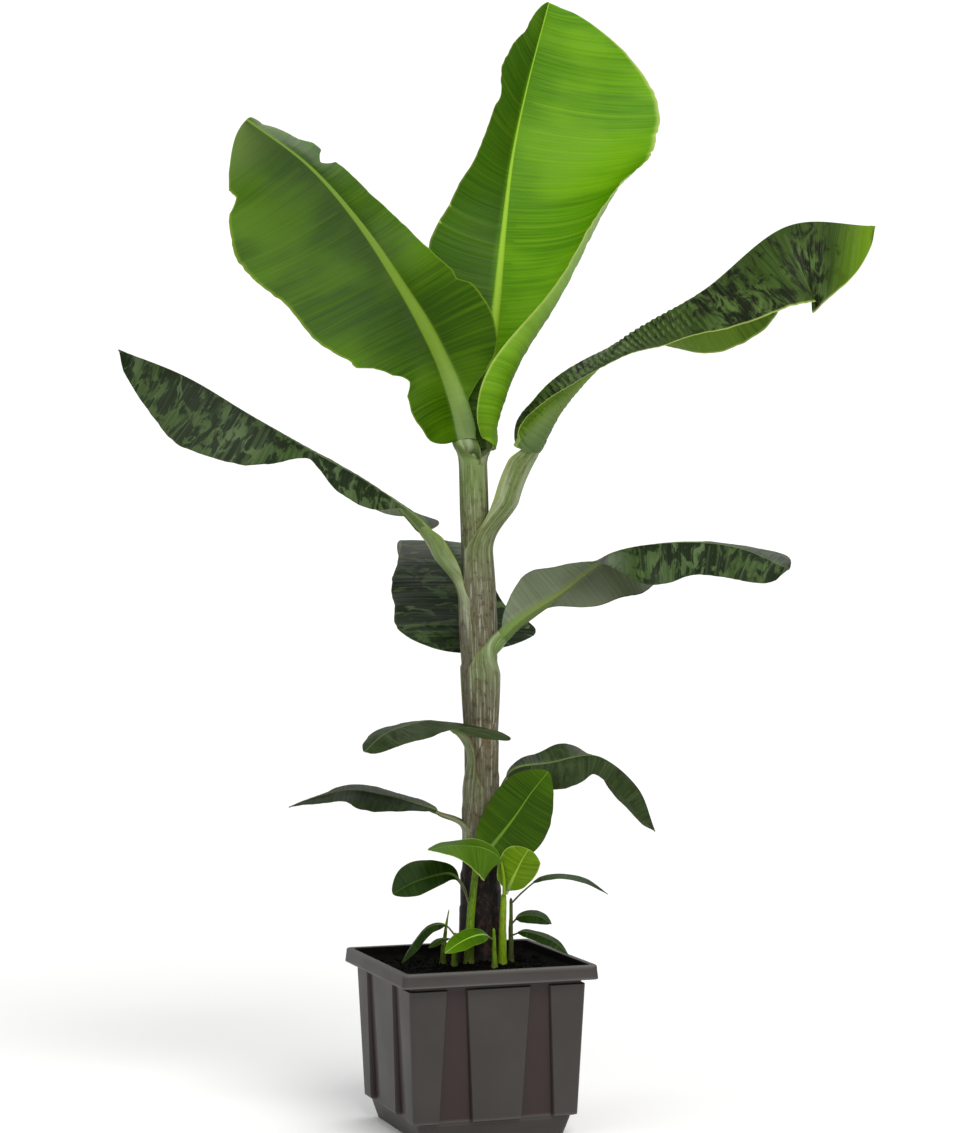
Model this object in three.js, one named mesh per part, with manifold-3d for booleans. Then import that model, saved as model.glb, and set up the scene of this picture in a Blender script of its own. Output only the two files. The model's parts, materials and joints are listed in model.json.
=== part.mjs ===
// A potted dwarf banana plant: a square nursery pot filled with potting soil, one main stem
// with nine leaves, and a ring of suckers round its foot.
// Millimetres, +Z up. The origin is the centre of the pot's flat underside, and the pot's
// sides face along X and Y. The plant stands in a group of its own, turned about Z.
import * as THREE from "three";
import Module from "manifold-3d";

const wasm = await Module();
wasm.setup();

// ---------- driving dimensions ----------
const GAP = 0.3;                 // clearance between neighbouring solids
const PLANT_TURN = -19.3;        // degrees from the pot's X axis to the plant's own X axis
const LEAF_SHARE = 0.011;        // thickness of a leaf as a share of its blade's length

const POT = {
  height: 255, foot: 110, footHeight: 30,       // half sides and heights
  body: [119, 132], bodyTop: 235,               // recessed wall, bottom and top
  rimBottom: 151, rimTop: 148.5, lip: 8,        // skirted rim
  wall: 3, floor: 4, corner: 8,
  panel: [127, 136], panelFrom: 32, panelTo: 228,
  middle: [38, 49], groove: [88, 79],           // half width of the middle panel, start of the corner panel
};
const SOIL_TOP = 242;

// Main stem: radius at evenly spaced heights from the soil to the fork.
const STEM = { u: [17, 18, 18, 16, 14], v: 32, top: 1003, radius: [31, 27, 26, 27, 28.5, 25, 21] };

// Suckers: foot (u, v), height of the top, lean of the top (du, dv), radius at foot and top.
const SUCKERS = {
  left: { foot: [0, -9], top: 397, lean: [12, -3], radius: [7.5, 6] },
  right: { foot: [50, -9], top: 350, lean: [2, -1], radius: [6, 4.5] },
  behind: { foot: [63, 17], top: 340, lean: [0, 0], radius: [5, 3.5] },
  front: { foot: [38, -26], top: 300, lean: [-1, 0], radius: [4.5, 3] },
  spear: { foot: [-39, 10], top: 323, lean: [9, 2], radius: [6, 1.5] },
  side: { foot: [-22, -8], top: 291, lean: [2, 0], radius: [5.5, 3.5] },
};

// Leaves. root: where the midrib's line starts. heading: degrees from +u towards +v. out, up and
// drift: the line's reach along the heading, rise and sidestep at even steps. stalk: length of
// line before the blade. left, right: half widths at even steps along the blade. ends: shares of
// the blade rounded off at base and tip. roll: turn of the blade about its rib. fold: angle of
// each half from flat. curl: extra angle gained towards the margin. sweep: how far the margins
// run ahead of the rib. rib: radius of the stalk at its foot and where the blade starts.
const MAIN_LEAVES = {
  top: {
    root: [27, 42, 1004], heading: 90, stalk: 50, rib: [17, 10],
    out: [0, 28, 60, 92, 122, 150, 180], drift: [0, -3, -15, -26, -40, -64, -98],
    up: [0, 120, 240, 358, 476, 594, 728],
    left: [20, 43, 81, 114, 109, 84, 68, 72, 84, 46, 30], right: [50, 135, 170, 196, 222, 208, 155],
    ends: [0.06, 0.2], roll: [0, -5, 5, 35, 42], foldLeft: [40, 15, 15, 28, 18],
    foldRight: [50, 18, 8, 20, 22], curlLeft: [30, 20, 5, 0],
    curlRight: [30, 90, 120, 85, 20, 0, 0], curlPower: 3, sweep: [0, 0.15, 0.2, 0.2],
  },
  upper_left: {
    root: [-5, 26, 939], heading: 175, stalk: 95, rib: [20, 16],
    out: [0, 9, 50, 104, 168, 242, 335], up: [0, 125, 237, 333, 427, 510, 580],
    left: [84, 103, 84, 142, 172, 176, 192, 190, 158, 132, 104],
    right: [0, 20, 88, 100, 75, 62, 57, 58, 66, 72, 66],
    ends: [0.05, 0.22], roll: [-45, -60, -65, -65], foldLeft: [20, 5, 0, 0],
    foldRight: [60, 45, 38, 10, -15, -38, -46], sweep: [-0.2, 0.05, 0.15],
  },
  left: {
    root: [-5, 25, 790], heading: 190, stalk: 120, rib: [13, 7],
    out: [0, 50, 130, 225, 320, 420, 520], up: [0, 100, 166, 219, 272, 330, 369],
    left: [8, 14, 56, 60, 26, 76, 94, 104, 89, 73, 52], right: [60, 78, 92, 92, 90, 78, 60],
    ends: [0.05, 0.25], foldLeft: [-60, -50, -50, -65, -75, -75],
    foldRight: [30, -15, 6, -12, -20, -22, -20],
    sweep: [-0.5, 0, 0.1],
  },
  upper_right: {
    root: [28, 20, 850], heading: -8, stalk: 175, rib: [24, 15],
    out: [0, 44, 127, 215, 325, 448, 578], up: [0, 131, 236, 331, 402, 487, 495],
    left: [82, 44, 56, 50, 84, 108, 114, 102, 100, 110, 108],
    right: [30, 50, 68, 82, 88, 92, 112, 130, 136, 152, 172],
    ends: [0.1, 0.09], foldLeft: [55, 45, 10, -50, -62, -50, -15],
    foldRight: [-10, -20, -30, -45, -60, -76, -52], sweep: [-0.1, 0, 0, 0],
  },
  right: {
    root: [9, 20, 685], heading: -12, stalk: 60, rib: [13, 8],
    out: [0, 55, 130, 212, 305, 395, 473], up: [0, 62, 115, 174, 190, 182, 150],
    left: [0, 2, 14, 52, 66, 76, 82, 78, 69, 60, 52],
    right: [0, 38, 60, 53, 60, 76, 70, 54, 53, 50, 34],
    ends: [0.05, 0.06], roll: [-80, -70, -40, 0, 0, 0], foldLeft: [-10, -20, -45, -45, -5, 4, 25],
    foldRight: [-10, -20, -60, -60, -55], sweep: [0, 0.05],
  },
  back: {
    root: [14, 58, 698], heading: 103, stalk: 14, rib: [11, 8],
    out: [0, 60, 120, 190, 270, 350, 430], up: [0, 60, 118, 162, 184, 162, 104],
    left: [105, 125, 119, 113, 98, 81, 72, 66, 60, 50, 40],
    right: [80, 98, 60, 46, 40, 40, 40, 36, 32, 28, 24],
    ends: [0.1, 0.3], foldLeft: [10, 0, -10], foldRight: [10, 0, -20], sweep: [-0.15, 0.05],
  },
  front_left: {
    root: [14, 8, 505], heading: 210, stalk: 100, rib: [7, 4],
    out: [0, 5, 30, 75, 120, 160, 192], up: [0, 45, 86, 104, 99, 86, 62],
    left: [78, 68, 60, 46, 30], right: [50, 50, 45, 46, 30], ends: [0.1, 0.25],
    foldLeft: [14, -12, -20], foldRight: [0, -5], sweep: [-1, -0.1, 0.1], small: true,
  },
  low_left: {
    root: [-3, 25, 438], heading: 178, stalk: 55, rib: [9.5, 4.5],
    out: [0, 40, 85, 130, 175, 225, 270], up: [0, 30, 46, 57, 63, 53, 37],
    left: [14, 22, 33, 40, 46, 45, 34, 32, 29, 24, 18], right: [30, 42, 42, 35, 20], ends: [0.1, 0.35],
    foldLeft: [-20, -35, -25, -10], foldRight: [5], sweep: [0.1], small: true,
  },
  low_right: {
    root: [40, 45, 420], heading: 0, stalk: 105, rib: [6, 4],
    out: [0, 8, 54, 102, 160, 210, 242], up: [0, 66, 109, 147, 126, 90, 17],
    left: [50, 48, 45, 38, 25], right: [40, 46, 54, 62, 64, 56, 44, 44, 43, 34, 24], ends: [0.1, 0.35],
    foldLeft: [-30, -30, -45, -75, -80], foldRight: [-50], sweep: [-0.2, 0.1], small: true,
  },
};

// Leaves of the suckers, each one solid with its own stalk.
const SUCKER_LEAVES = {
  left_big: {
    root: [13, -11, 397.5], heading: 4, stalk: 14, rib: [5, 3.5],
    out: [0, 30, 58, 80, 106], up: [0, 34, 70, 102, 134],
    left: [26, 40, 46, 40, 26], right: [30, 54, 56, 40, 24], ends: [0.15, 0.3],
    roll: [80], foldLeft: [15], foldRight: [10], sweep: [0, 0.1],
  },
  left_dark: {
    root: [-4, -14, 336], heading: 195, stalk: 45, rib: [3.5, 2.5],
    out: [0, 8, 24, 52, 88, 120], up: [0, 27, 44, 48, 38, 22],
    left: [6, 18, 24, 18], right: [6, 24, 30, 22], ends: [0.15, 0.4],
    roll: [-60], foldLeft: [10], foldRight: [10], sweep: [0, 0.1],
  },
  right_pale: {
    root: [53, -20, 349], heading: 208, stalk: 50, rib: [3.5, 2.5],
    out: [0, 1, 8, 38, 84, 127], up: [0, 28, 55, 72, 77, 73],
    left: [24, 32, 32, 20], right: [9, 30, 36, 22], ends: [0.15, 0.35],
    foldLeft: [-42, -38, -20], foldRight: [50, 8, 0], sweep: [0, 0.1],
  },
  right_cupped: {
    root: [55, -13, 350.5], heading: 272, stalk: 6, rib: [3.5, 3],
    out: [0, 6, 12, 18, 24], drift: [0, 8, 16, 24, 33], up: [0, 18, 36, 53, 68],
    left: [14, 22, 24, 16], right: [14, 22, 24, 16], ends: [0.15, 0.3],
    foldLeft: [20], foldRight: [20], sweep: [0, 0.1],
  },
  behind_long: {
    root: [66, 15, 335], heading: -5, stalk: 45, rib: [2.5, 2],
    out: [0, 18, 42, 77, 115, 145], up: [0, 18, 37, 43, 34, 14],
    left: [12, 18, 14, 8], right: [14, 20, 16, 8], ends: [0.15, 0.4],
    foldLeft: [0], foldRight: [-15], sweep: [-0.2, 0.1],
  },
  behind_mid: {
    root: [66, 12, 303], heading: -15, stalk: 8, rib: [2.5, 2],
    out: [0, 10, 26, 44, 62], up: [0, 9, 12, 10, 0],
    left: [12, 16, 15, 9], right: [12, 16, 15, 9], ends: [0.15, 0.4],
    foldLeft: [20], foldRight: [-40], sweep: [0.1],
  },
  behind_low: {
    root: [66, 10, 285], heading: -20, stalk: 10, rib: [2.5, 2],
    out: [0, 18, 42, 70, 90], up: [0, 6, 2, -9, -26],
    left: [10, 14, 12, 7], right: [10, 14, 12, 7], ends: [0.15, 0.4],
    foldLeft: [10], foldRight: [-40], sweep: [0.1],
  },
  front_leaf: {
    root: [35, -28, 286], heading: 215, stalk: 8, rib: [2.5, 2],
    out: [0, 16, 38, 62, 85], up: [0, 6, 4, -4, -16],
    left: [12, 17, 16, 10], right: [12, 17, 16, 10], ends: [0.15, 0.4],
    roll: [-25], foldLeft: [-10], foldRight: [10], sweep: [0.1],
  },
  side_arched: {
    root: [-22, -6, 290], heading: 185, stalk: 20, rib: [2.5, 2],
    out: [0, 14, 38, 60, 80], up: [0, 15, 12, -10, -42],
    left: [12, 16, 16, 9], right: [12, 16, 16, 9], ends: [0.15, 0.4],
    foldLeft: [-35], foldRight: [0], sweep: [0.1],
  },
  side_small: {
    root: [-25, -12, 282], heading: 215, stalk: 8, rib: [2, 1.6],
    out: [0, 8, 24, 42], up: [0, 2, 0, -10],
    left: [7, 9, 6], right: [7, 9, 6], ends: [0.15, 0.4],
    foldLeft: [-20], foldRight: [0], sweep: [0.1],
  },
};

// ---------- colours ----------
const paint = (color, roughness) => new THREE.MeshStandardMaterial({ color, roughness, metalness: 0 });
const PLASTIC = paint(0x4a4340, 0.55);
const EARTH = paint(0x1d1815, 0.95);
const STEM_SKIN = paint(0x6f7355, 0.6);
const SHOOT_SKIN = paint(0x8fb84a, 0.5);
const FRESH = paint(0x4f9a1c, 0.45);
const DARK = paint(0x2f4a2a, 0.5);
const PALE = paint(0x8fae6a, 0.5);
const LEAF_PAINT = { top: FRESH, upper_left: FRESH, left_big: FRESH, right_pale: PALE, right_cupped: FRESH };

// ---------- small helpers ----------
const rad = THREE.MathUtils.degToRad;
const lerp = THREE.MathUtils.lerp;
const clamp01 = (x) => Math.min(1, Math.max(0, x));
const vec = (x, y, z) => new THREE.Vector3(x, y, z);

// Smooth value at t (0 to 1) of a list of evenly spaced values.
function along(values, t) {
  if (values.length === 1) return values[0];
  const last = values.length - 1;
  const i = Math.min(Math.floor(clamp01(t) * last), last - 1);
  const f = clamp01(t) * last - i;
  const [b, c] = [values[i], values[i + 1]];
  const a = i > 0 ? values[i - 1] : 2 * b - c;
  const d = i < last - 1 ? values[i + 2] : 2 * c - b;
  return b + 0.5 * f * (c - a + f * (2 * a - 5 * b + 4 * c - d + f * (3 * (b - c) + d - a)));
}

// Solid from points (Vector3) and triangles (index triples).
function solidFrom(points, triangles) {
  const vertProperties = new Float32Array(points.flatMap((p) => [p.x, p.y, p.z]));
  const triVerts = new Uint32Array(triangles.flat());
  return new wasm.Manifold(new wasm.Mesh({ numProp: 3, vertProperties, triVerts }));
}

function geometryFrom(solid) {
  const { vertProperties, triVerts } = solid.getMesh();
  const geometry = new THREE.BufferGeometry();
  geometry.setAttribute("position", new THREE.BufferAttribute(vertProperties, 3));
  geometry.setIndex(new THREE.BufferAttribute(triVerts, 1));
  geometry.computeVertexNormals();
  return geometry;
}

// Skin over closed rings of equal point counts, anticlockwise seen from the last ring's side.
function loft(rings) {
  const n = rings[0].length;
  const triangles = [];
  for (let r = 0; r < rings.length - 1; r++) {
    for (let i = 0; i < n; i++) {
      const [a, b] = [r * n + i, r * n + ((i + 1) % n)];
      triangles.push([a, b, b + n], [a, b + n, a + n]);
    }
  }
  const end = (rings.length - 1) * n;
  for (let i = 1; i < n - 1; i++) triangles.push([0, i + 1, i], [end, end + i, end + i + 1]);
  return solidFrom(rings.flat(), triangles);
}

// ---------- pot ----------
const CORNER_STEPS = 3;

function squareRing(half, z, corner = POT.corner) {
  const ring = [];
  for (let side = 0; side < 4; side++) {
    for (let i = 0; i <= CORNER_STEPS; i++) {
      const angle = (side + i / CORNER_STEPS) * (Math.PI / 2);
      const [cx, cy] = [[1, 1], [-1, 1], [-1, -1], [1, -1]][side].map((s) => s * (half - corner));
      ring.push(vec(cx + corner * Math.cos(angle), cy + corner * Math.sin(angle), z));
    }
  }
  return ring;
}

// Half side of the wall outside and inside at a height, and the share of the way up a panel.
function wallHalf(z) {
  const { foot, footHeight, body, bodyTop } = POT;
  if (z < footHeight) return lerp(foot, body[0], z / footHeight);
  return lerp(body[0], body[1], (z - footHeight) / (bodyTop - footHeight));
}
const panelShare = (z) => (z - POT.panelFrom) / (POT.panelTo - POT.panelFrom);
const cavityHalf = (z) => wallHalf(z) - POT.wall;

function potShell() {
  const lipHalf = POT.rimTop - POT.lip;
  return loft([
    squareRing(POT.foot, 0), squareRing(POT.body[0], POT.footHeight),
    squareRing(POT.body[1], POT.bodyTop), squareRing(POT.rimBottom, POT.bodyTop - 1),
    squareRing(POT.rimTop + 0.8, POT.height - 2), squareRing(POT.rimTop - 1.2, POT.height),
    squareRing(lipHalf, POT.height), squareRing(lipHalf - 1, POT.height - 12),
    squareRing(cavityHalf(POT.bodyTop), POT.bodyTop - 2),
    squareRing(cavityHalf(POT.footHeight), POT.footHeight), squareRing(cavityHalf(POT.floor), POT.floor),
  ]);
}

// Eight-cornered block between two rectangles: x and y ranges at the bottom and at the top.
function taperedBlock(bottom, top, z0, z1) {
  const corners = ([x0, x1, y0, y1], z) => [vec(x0, y0, z), vec(x1, y0, z), vec(x1, y1, z), vec(x0, y1, z)];
  return loft([corners(bottom, z0), corners(top, z1)]);
}

function potPanels() {
  const { panel, panelFrom: z0, panelTo: z1, middle, groove } = POT;
  const sunk = 1.5;
  let panels = loft([squareRing(panel[0], z0), squareRing(panel[1], z1)]);
  panels = panels.subtract(loft([z0 - 1, z1 + 1].map((z) => squareRing(wallHalf(z) - sunk, z))));
  const share = (pair, z) => lerp(pair[0], pair[1], panelShare(z));
  for (let side = 0; side < 4; side++) {
    for (const hand of [1, -1]) {
      const rect = (z) => {
        const ys = [share(middle, z) * hand, share(groove, z) * hand].sort((a, b) => a - b);
        return [wallHalf(z) - 2 * sunk, 160, ...ys];
      };
      const cutter = taperedBlock(rect(z0 - 1), rect(z1 + 1), z0 - 1, z1 + 1);
      panels = panels.subtract(cutter.rotate([0, 0, 90 * side]));
    }
  }
  return panels;
}

const soilHalf = (z) => cavityHalf(z) - GAP;
const soilSolid = () => loft([
  squareRing(soilHalf(POT.floor) - GAP, POT.floor + GAP),
  squareRing(soilHalf(POT.footHeight) - GAP, POT.footHeight),
  squareRing(soilHalf(POT.bodyTop) - GAP, POT.bodyTop - 3),
  squareRing(soilHalf(POT.bodyTop) - GAP, SOIL_TOP),
]);

// ---------- stems ----------
function ring(centre, radius, sides, tangent = vec(0, 0, 1), wide = 1, aside = vec(0, 1, 0)) {
  const across = aside.clone().addScaledVector(tangent, -aside.dot(tangent)).normalize();
  const normal = tangent.clone().cross(across);
  return Array.from({ length: sides }, (_, i) => {
    const angle = (2 * Math.PI * i) / sides;
    return centre.clone().addScaledVector(across, radius * wide * Math.cos(angle))
      .addScaledVector(normal, radius * Math.sin(angle));
  });
}

function stemSolid(grow = 0, rings = 12) {
  const foot = SOIL_TOP + GAP;
  return loft(Array.from({ length: rings + 1 }, (_, i) => {
    const t = i / rings;
    const centre = vec(along(STEM.u, t), STEM.v, lerp(foot, STEM.top + grow, t));
    return ring(centre, along(STEM.radius, t) + grow, 16);
  }));
}

function suckerSolid({ foot, top, lean, radius }, grow = 0, rings = 4) {
  return loft(Array.from({ length: rings + 1 }, (_, i) => {
    const t = i / rings;
    const centre = vec(foot[0] + lean[0] * t * t, foot[1] + lean[1] * t * t,
      lerp(SOIL_TOP + GAP, top + grow, t));
    return ring(centre, lerp(radius[0], radius[1], t) + grow, 8);
  }));
}

// ---------- leaves ----------
const TRACK_STEPS = 120;

// The midrib's line: positions with forward, left and upward directions and running length.
function trackOf(leaf) {
  const angle = rad(leaf.heading);
  const ahead = vec(Math.cos(angle), Math.sin(angle), 0);
  const aside = vec(-Math.sin(angle), Math.cos(angle), 0);
  const at = (t) => vec(...leaf.root).addScaledVector(ahead, along(leaf.out, t))
    .addScaledVector(aside, along(leaf.drift ?? [0], t)).setZ(leaf.root[2] + along(leaf.up, t));
  const points = Array.from({ length: TRACK_STEPS + 1 }, (_, i) => at(i / TRACK_STEPS));
  const lengths = [0];
  points.forEach((p, i) => i && lengths.push(lengths[i - 1] + p.distanceTo(points[i - 1])));
  return { points, lengths, aside, total: lengths[TRACK_STEPS] };
}

function frameAt(track, length) {
  const { points, lengths, aside } = track;
  let i = 1;
  while (i < TRACK_STEPS && lengths[i] < length) i++;
  const f = (length - lengths[i - 1]) / (lengths[i] - lengths[i - 1]);
  const position = points[i - 1].clone().lerp(points[i], f);
  const slope = (k) => points[Math.min(k + 1, TRACK_STEPS)].clone().sub(points[Math.max(k - 1, 0)]);
  const forward = slope(i - 1).lerp(slope(i), clamp01(f)).normalize();
  const left = aside.clone().addScaledVector(forward, -aside.dot(forward)).normalize();
  return { position, forward, left, up: forward.clone().cross(left) };
}

// Share of the width left where the blade's base and tip are rounded off.
function endShare(t, [start, stop]) {
  const a = clamp01(1 - t / start);
  const b = clamp01(1 - (1 - t) / stop);
  return Math.sqrt(1 - a * a) * (1 - b * b) ** 0.6;
}

const closerAtEnds = (t) => lerp(t, (1 - Math.cos(Math.PI * t)) / 2, 0.6);
const thicknessOf = (leaf) => Math.max(1.2, LEAF_SHARE * (trackOf(leaf).total - leaf.stalk));

// Points from the rib to the margin of one half blade. Narrow rows are flatter than wide ones.
function halfRow(leaf, frame, t, sign, count, least, flatWidth) {
  const [widths, fold, curl] = sign > 0
    ? [leaf.left, leaf.foldLeft, leaf.curlLeft] : [leaf.right, leaf.foldRight, leaf.curlRight];
  const width = Math.max(along(widths, t) * endShare(t, leaf.ends), least);
  const bent = clamp01(width / flatWidth);
  const roll = rad(along(leaf.roll ?? [0], t));
  const side = frame.left.clone().multiplyScalar(Math.cos(roll)).addScaledVector(frame.up, Math.sin(roll));
  const up = frame.up.clone().multiplyScalar(Math.cos(roll)).addScaledVector(frame.left, -Math.sin(roll));
  const step = width / count;
  const row = [frame.position.clone()];
  for (let j = 1; j <= count; j++) {
    const q = (j - 0.5) / count;
    const angle = bent * rad(along(fold, t) + along(curl ?? [0], t) * q ** (leaf.curlPower ?? 2));
    row.push(row[j - 1].clone().addScaledVector(side, sign * step * Math.cos(angle))
      .addScaledVector(up, step * Math.sin(angle))
      .addScaledVector(frame.forward, step * along(leaf.sweep, t) * 2 * q));
  }
  return row;
}

// Rows of points across the leaf, from right margin to left margin. A leaf with its stalk
// fused on starts with narrow rows, as wide as the stalk.
function leafRows(leaf, rows, half, fused) {
  const track = trackOf(leaf);
  const blade = track.total - leaf.stalk;
  const flatWidth = 5 * thicknessOf(leaf);
  const stations = Array.from({ length: rows + 1 }, (_, i) => closerAtEnds(i / rows));
  const stalkRows = fused ? [-1, -0.5] : [];
  return [...stalkRows, ...stations].map((t) => {
    const length = t < 0 ? leaf.stalk * (1 + t) : leaf.stalk + blade * t;
    const frame = frameAt(track, length);
    const least = lerp(leaf.rib[1], 1.5, clamp01(t));
    const halves = [-1, 1].map((sign) => halfRow(leaf, frame, Math.max(t, 0), sign, half, least, flatWidth));
    return { t, forward: frame.forward, points: [...halves[0].reverse(), ...halves[1].slice(1)] };
  });
}

const clampTo = (k, last) => Math.min(Math.max(k, 0), last);

// Closed solid: the rows thickened both ways, with the rib standing out of the underside.
function leafSolid(leaf, { rows, half, fused }, grow = 0) {
  const grid = leafRows(leaf, rows, half, fused);
  const columns = 2 * half + 1;
  const thick = thicknessOf(leaf) / 2 + grow;
  const point = (i, j) => grid[clampTo(i, grid.length - 1)].points[clampTo(j, columns - 1)];
  const across = (from, to) => point(...to).clone().sub(point(...from));
  const [top, bottom] = [[], []];
  grid.forEach(({ t, forward }, i) => {
    const stalkDepth = lerp(leaf.rib[0], leaf.rib[1], clamp01(1 + t));
    for (let j = 0; j < columns; j++) {
      const lengthwise = across([i - 1, j], [i + 1, j]).normalize();
      const crosswise = across([i, j - 1], [i, j + 1]);
      const normal = lengthwise.add(forward).cross(crosswise).normalize();
      const nearRib = Math.abs(j - half) < 1;
      const ribDepth = t < 0 ? stalkDepth : leaf.rib[1] * (1 - t) + thick;
      const above = t < 0 ? stalkDepth * 0.5 + grow : thick;
      const below = nearRib || t < 0 ? ribDepth + grow : thick;
      top.push(point(i, j).clone().addScaledVector(normal, above));
      bottom.push(point(i, j).clone().addScaledVector(normal, -below));
    }
  });
  return solidFrom([...top, ...bottom], gridTriangles(grid.length, columns));
}

// Triangles of a closed slab: a top grid, a bottom grid and the walls round them.
function gridTriangles(rows, columns) {
  const size = rows * columns;
  const triangles = [];
  for (let i = 0; i < rows - 1; i++) {
    for (let j = 0; j < columns - 1; j++) {
      const [a, b] = [i * columns + j, (i + 1) * columns + j];
      const [c, d] = [b + 1, a + 1];
      triangles.push([a, b, c], [a, c, d]);
      triangles.push([a + size, c + size, b + size], [a + size, d + size, c + size]);
    }
  }
  const edge = [];
  for (let j = 0; j < columns - 1; j++) edge.push(j);
  for (let i = 0; i < rows - 1; i++) edge.push(i * columns + columns - 1);
  for (let j = columns - 1; j > 0; j--) edge.push((rows - 1) * columns + j);
  for (let i = rows - 1; i > 0; i--) edge.push(i * columns);
  edge.forEach((a, k) => {
    const b = edge[(k + 1) % edge.length];
    triangles.push([a, b, b + size], [a, b + size, a + size]);
  });
  return triangles;
}

// Stalk from the main stem to the start of the blade: a flattened, tapering limb.
function stalkSolid(leaf, grow = 0, rings = 7) {
  const track = trackOf(leaf);
  const end = leaf.stalk - 2 * GAP + grow;
  return loft(Array.from({ length: rings + 1 }, (_, i) => {
    const t = i / rings;
    const { position, forward, left } = frameAt(track, end * t);
    return ring(position, lerp(leaf.rib[0], leaf.rib[1], t) * 0.8 + grow, 10, forward, 1.25, left);
  }));
}

// ---------- assembly ----------
const banana = new THREE.Group();
const plant = new THREE.Group();
plant.rotation.z = rad(PLANT_TURN);
banana.add(plant);

const placed = [];

// Adds a solid, cut clear of the grown forms of those placed before it.
function place(parent, name, material, form) {
  let solid = form(0);
  for (const other of parent === plant ? placed : []) {
    const clear = solid.subtract(other.grown);
    if (clear.volume() < solid.volume() - 0.01) {
      solid = clear.decompose().reduce((a, b) => (b.volume() > a.volume() ? b : a));
    }
  }
  if (parent === plant) placed.push({ name, grown: form(GAP) });
  const mesh = new THREE.Mesh(geometryFrom(solid), material);
  mesh.name = name;
  parent.add(mesh);
}

place(banana, "pot", PLASTIC, () => potShell().add(potPanels()));
place(banana, "potting_soil", EARTH, () => soilSolid());
place(plant, "pseudostem", STEM_SKIN, (grow) => stemSolid(grow));
for (const [name, sucker] of Object.entries(SUCKERS)) {
  place(plant, `sucker_stem_${name}`, SHOOT_SKIN, (grow) => suckerSolid(sucker, grow));
}
for (const [name, leaf] of Object.entries(MAIN_LEAVES)) {
  place(plant, `petiole_${name}`, STEM_SKIN, (grow) => stalkSolid(leaf, grow));
}
for (const [name, leaf] of Object.entries(MAIN_LEAVES)) {
  const detail = leaf.small ? { rows: 10, half: 3 } : { rows: 15, half: name === "top" ? 6 : 4 };
  place(plant, `leaf_${name}`, LEAF_PAINT[name] ?? DARK, (grow) => leafSolid(leaf, detail, grow));
}
for (const [name, leaf] of Object.entries(SUCKER_LEAVES)) {
  const detail = { rows: 8, half: 2, fused: true };
  place(plant, `leaf_${name}`, LEAF_PAINT[name] ?? DARK, (grow) => leafSolid(leaf, detail, grow));
}

export default banana;
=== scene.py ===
"""Looks of the potted dwarf banana plant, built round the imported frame.

Shapes are worked out in the plant's own frame, in millimetres (u to the right, v away, z up from
the pot's underside), by the rules of the solids. Most sizes are the solids' own, and some widths,
folds and stalks are set a little closer to the photograph here. The forms are carried to fine
blades, sheaths and veins, and world() turns them into the row frame in metres.
"""
import json
import math
import zlib

import bpy
import numpy as np
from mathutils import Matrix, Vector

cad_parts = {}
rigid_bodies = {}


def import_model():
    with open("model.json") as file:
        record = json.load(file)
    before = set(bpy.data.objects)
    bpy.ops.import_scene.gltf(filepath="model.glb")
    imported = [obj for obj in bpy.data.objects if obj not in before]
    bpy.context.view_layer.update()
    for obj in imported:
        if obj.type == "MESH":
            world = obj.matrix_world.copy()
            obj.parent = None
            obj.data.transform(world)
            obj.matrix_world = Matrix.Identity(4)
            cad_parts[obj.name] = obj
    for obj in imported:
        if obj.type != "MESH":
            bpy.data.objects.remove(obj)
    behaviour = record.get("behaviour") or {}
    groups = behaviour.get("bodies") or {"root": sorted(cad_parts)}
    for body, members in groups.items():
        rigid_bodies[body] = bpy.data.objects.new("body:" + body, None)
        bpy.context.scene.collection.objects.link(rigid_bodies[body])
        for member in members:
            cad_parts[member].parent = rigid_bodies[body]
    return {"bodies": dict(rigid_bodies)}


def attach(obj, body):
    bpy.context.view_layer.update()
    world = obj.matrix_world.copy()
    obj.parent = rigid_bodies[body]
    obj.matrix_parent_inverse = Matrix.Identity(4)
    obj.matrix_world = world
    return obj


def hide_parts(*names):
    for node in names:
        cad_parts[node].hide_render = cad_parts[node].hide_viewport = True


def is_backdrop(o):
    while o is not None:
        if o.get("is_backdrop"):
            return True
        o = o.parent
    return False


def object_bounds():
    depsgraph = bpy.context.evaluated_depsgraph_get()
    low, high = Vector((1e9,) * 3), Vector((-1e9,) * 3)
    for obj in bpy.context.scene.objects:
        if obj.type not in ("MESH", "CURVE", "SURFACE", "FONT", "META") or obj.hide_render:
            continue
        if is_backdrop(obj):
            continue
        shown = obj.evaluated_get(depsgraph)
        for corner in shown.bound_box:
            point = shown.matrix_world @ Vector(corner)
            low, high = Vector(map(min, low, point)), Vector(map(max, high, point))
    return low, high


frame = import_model()
cad_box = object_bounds()

BODY = next(iter(frame["bodies"]))
MILLIMETRE = 0.001
PLANT_TURN = math.radians(-19.3)

# ---------- named sizes, mm ----------
POT = {
    "height": 255, "foot": 110, "footHeight": 30, "body": (119, 132), "bodyTop": 235,
    "rimBottom": 151, "rimTop": 148.5, "lip": 8, "wall": 3, "floor": 4, "corner": 8,
    "panel": (127, 136), "panelFrom": 32, "panelTo": 228, "middle": (38, 49), "groove": (88, 79),
    "bevel": 1.1, "panelRows": 22, "innerRows": 5, "cornerSteps": 8,
}
SOIL_TOP = 242
SOIL_MOUND = {"centre": (26, -4), "height": 9, "spread": 60}
SOIL_CHIPS = 420
STEM = {
    "u": [17, 17.5, 18, 17.5, 15, 10.5, 6], "v": 32, "top": 1003,
    "radius": [31, 27, 26, 27, 28.5, 23, 20.5],
}
STEM_MEAN_RADIUS = 28
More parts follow.
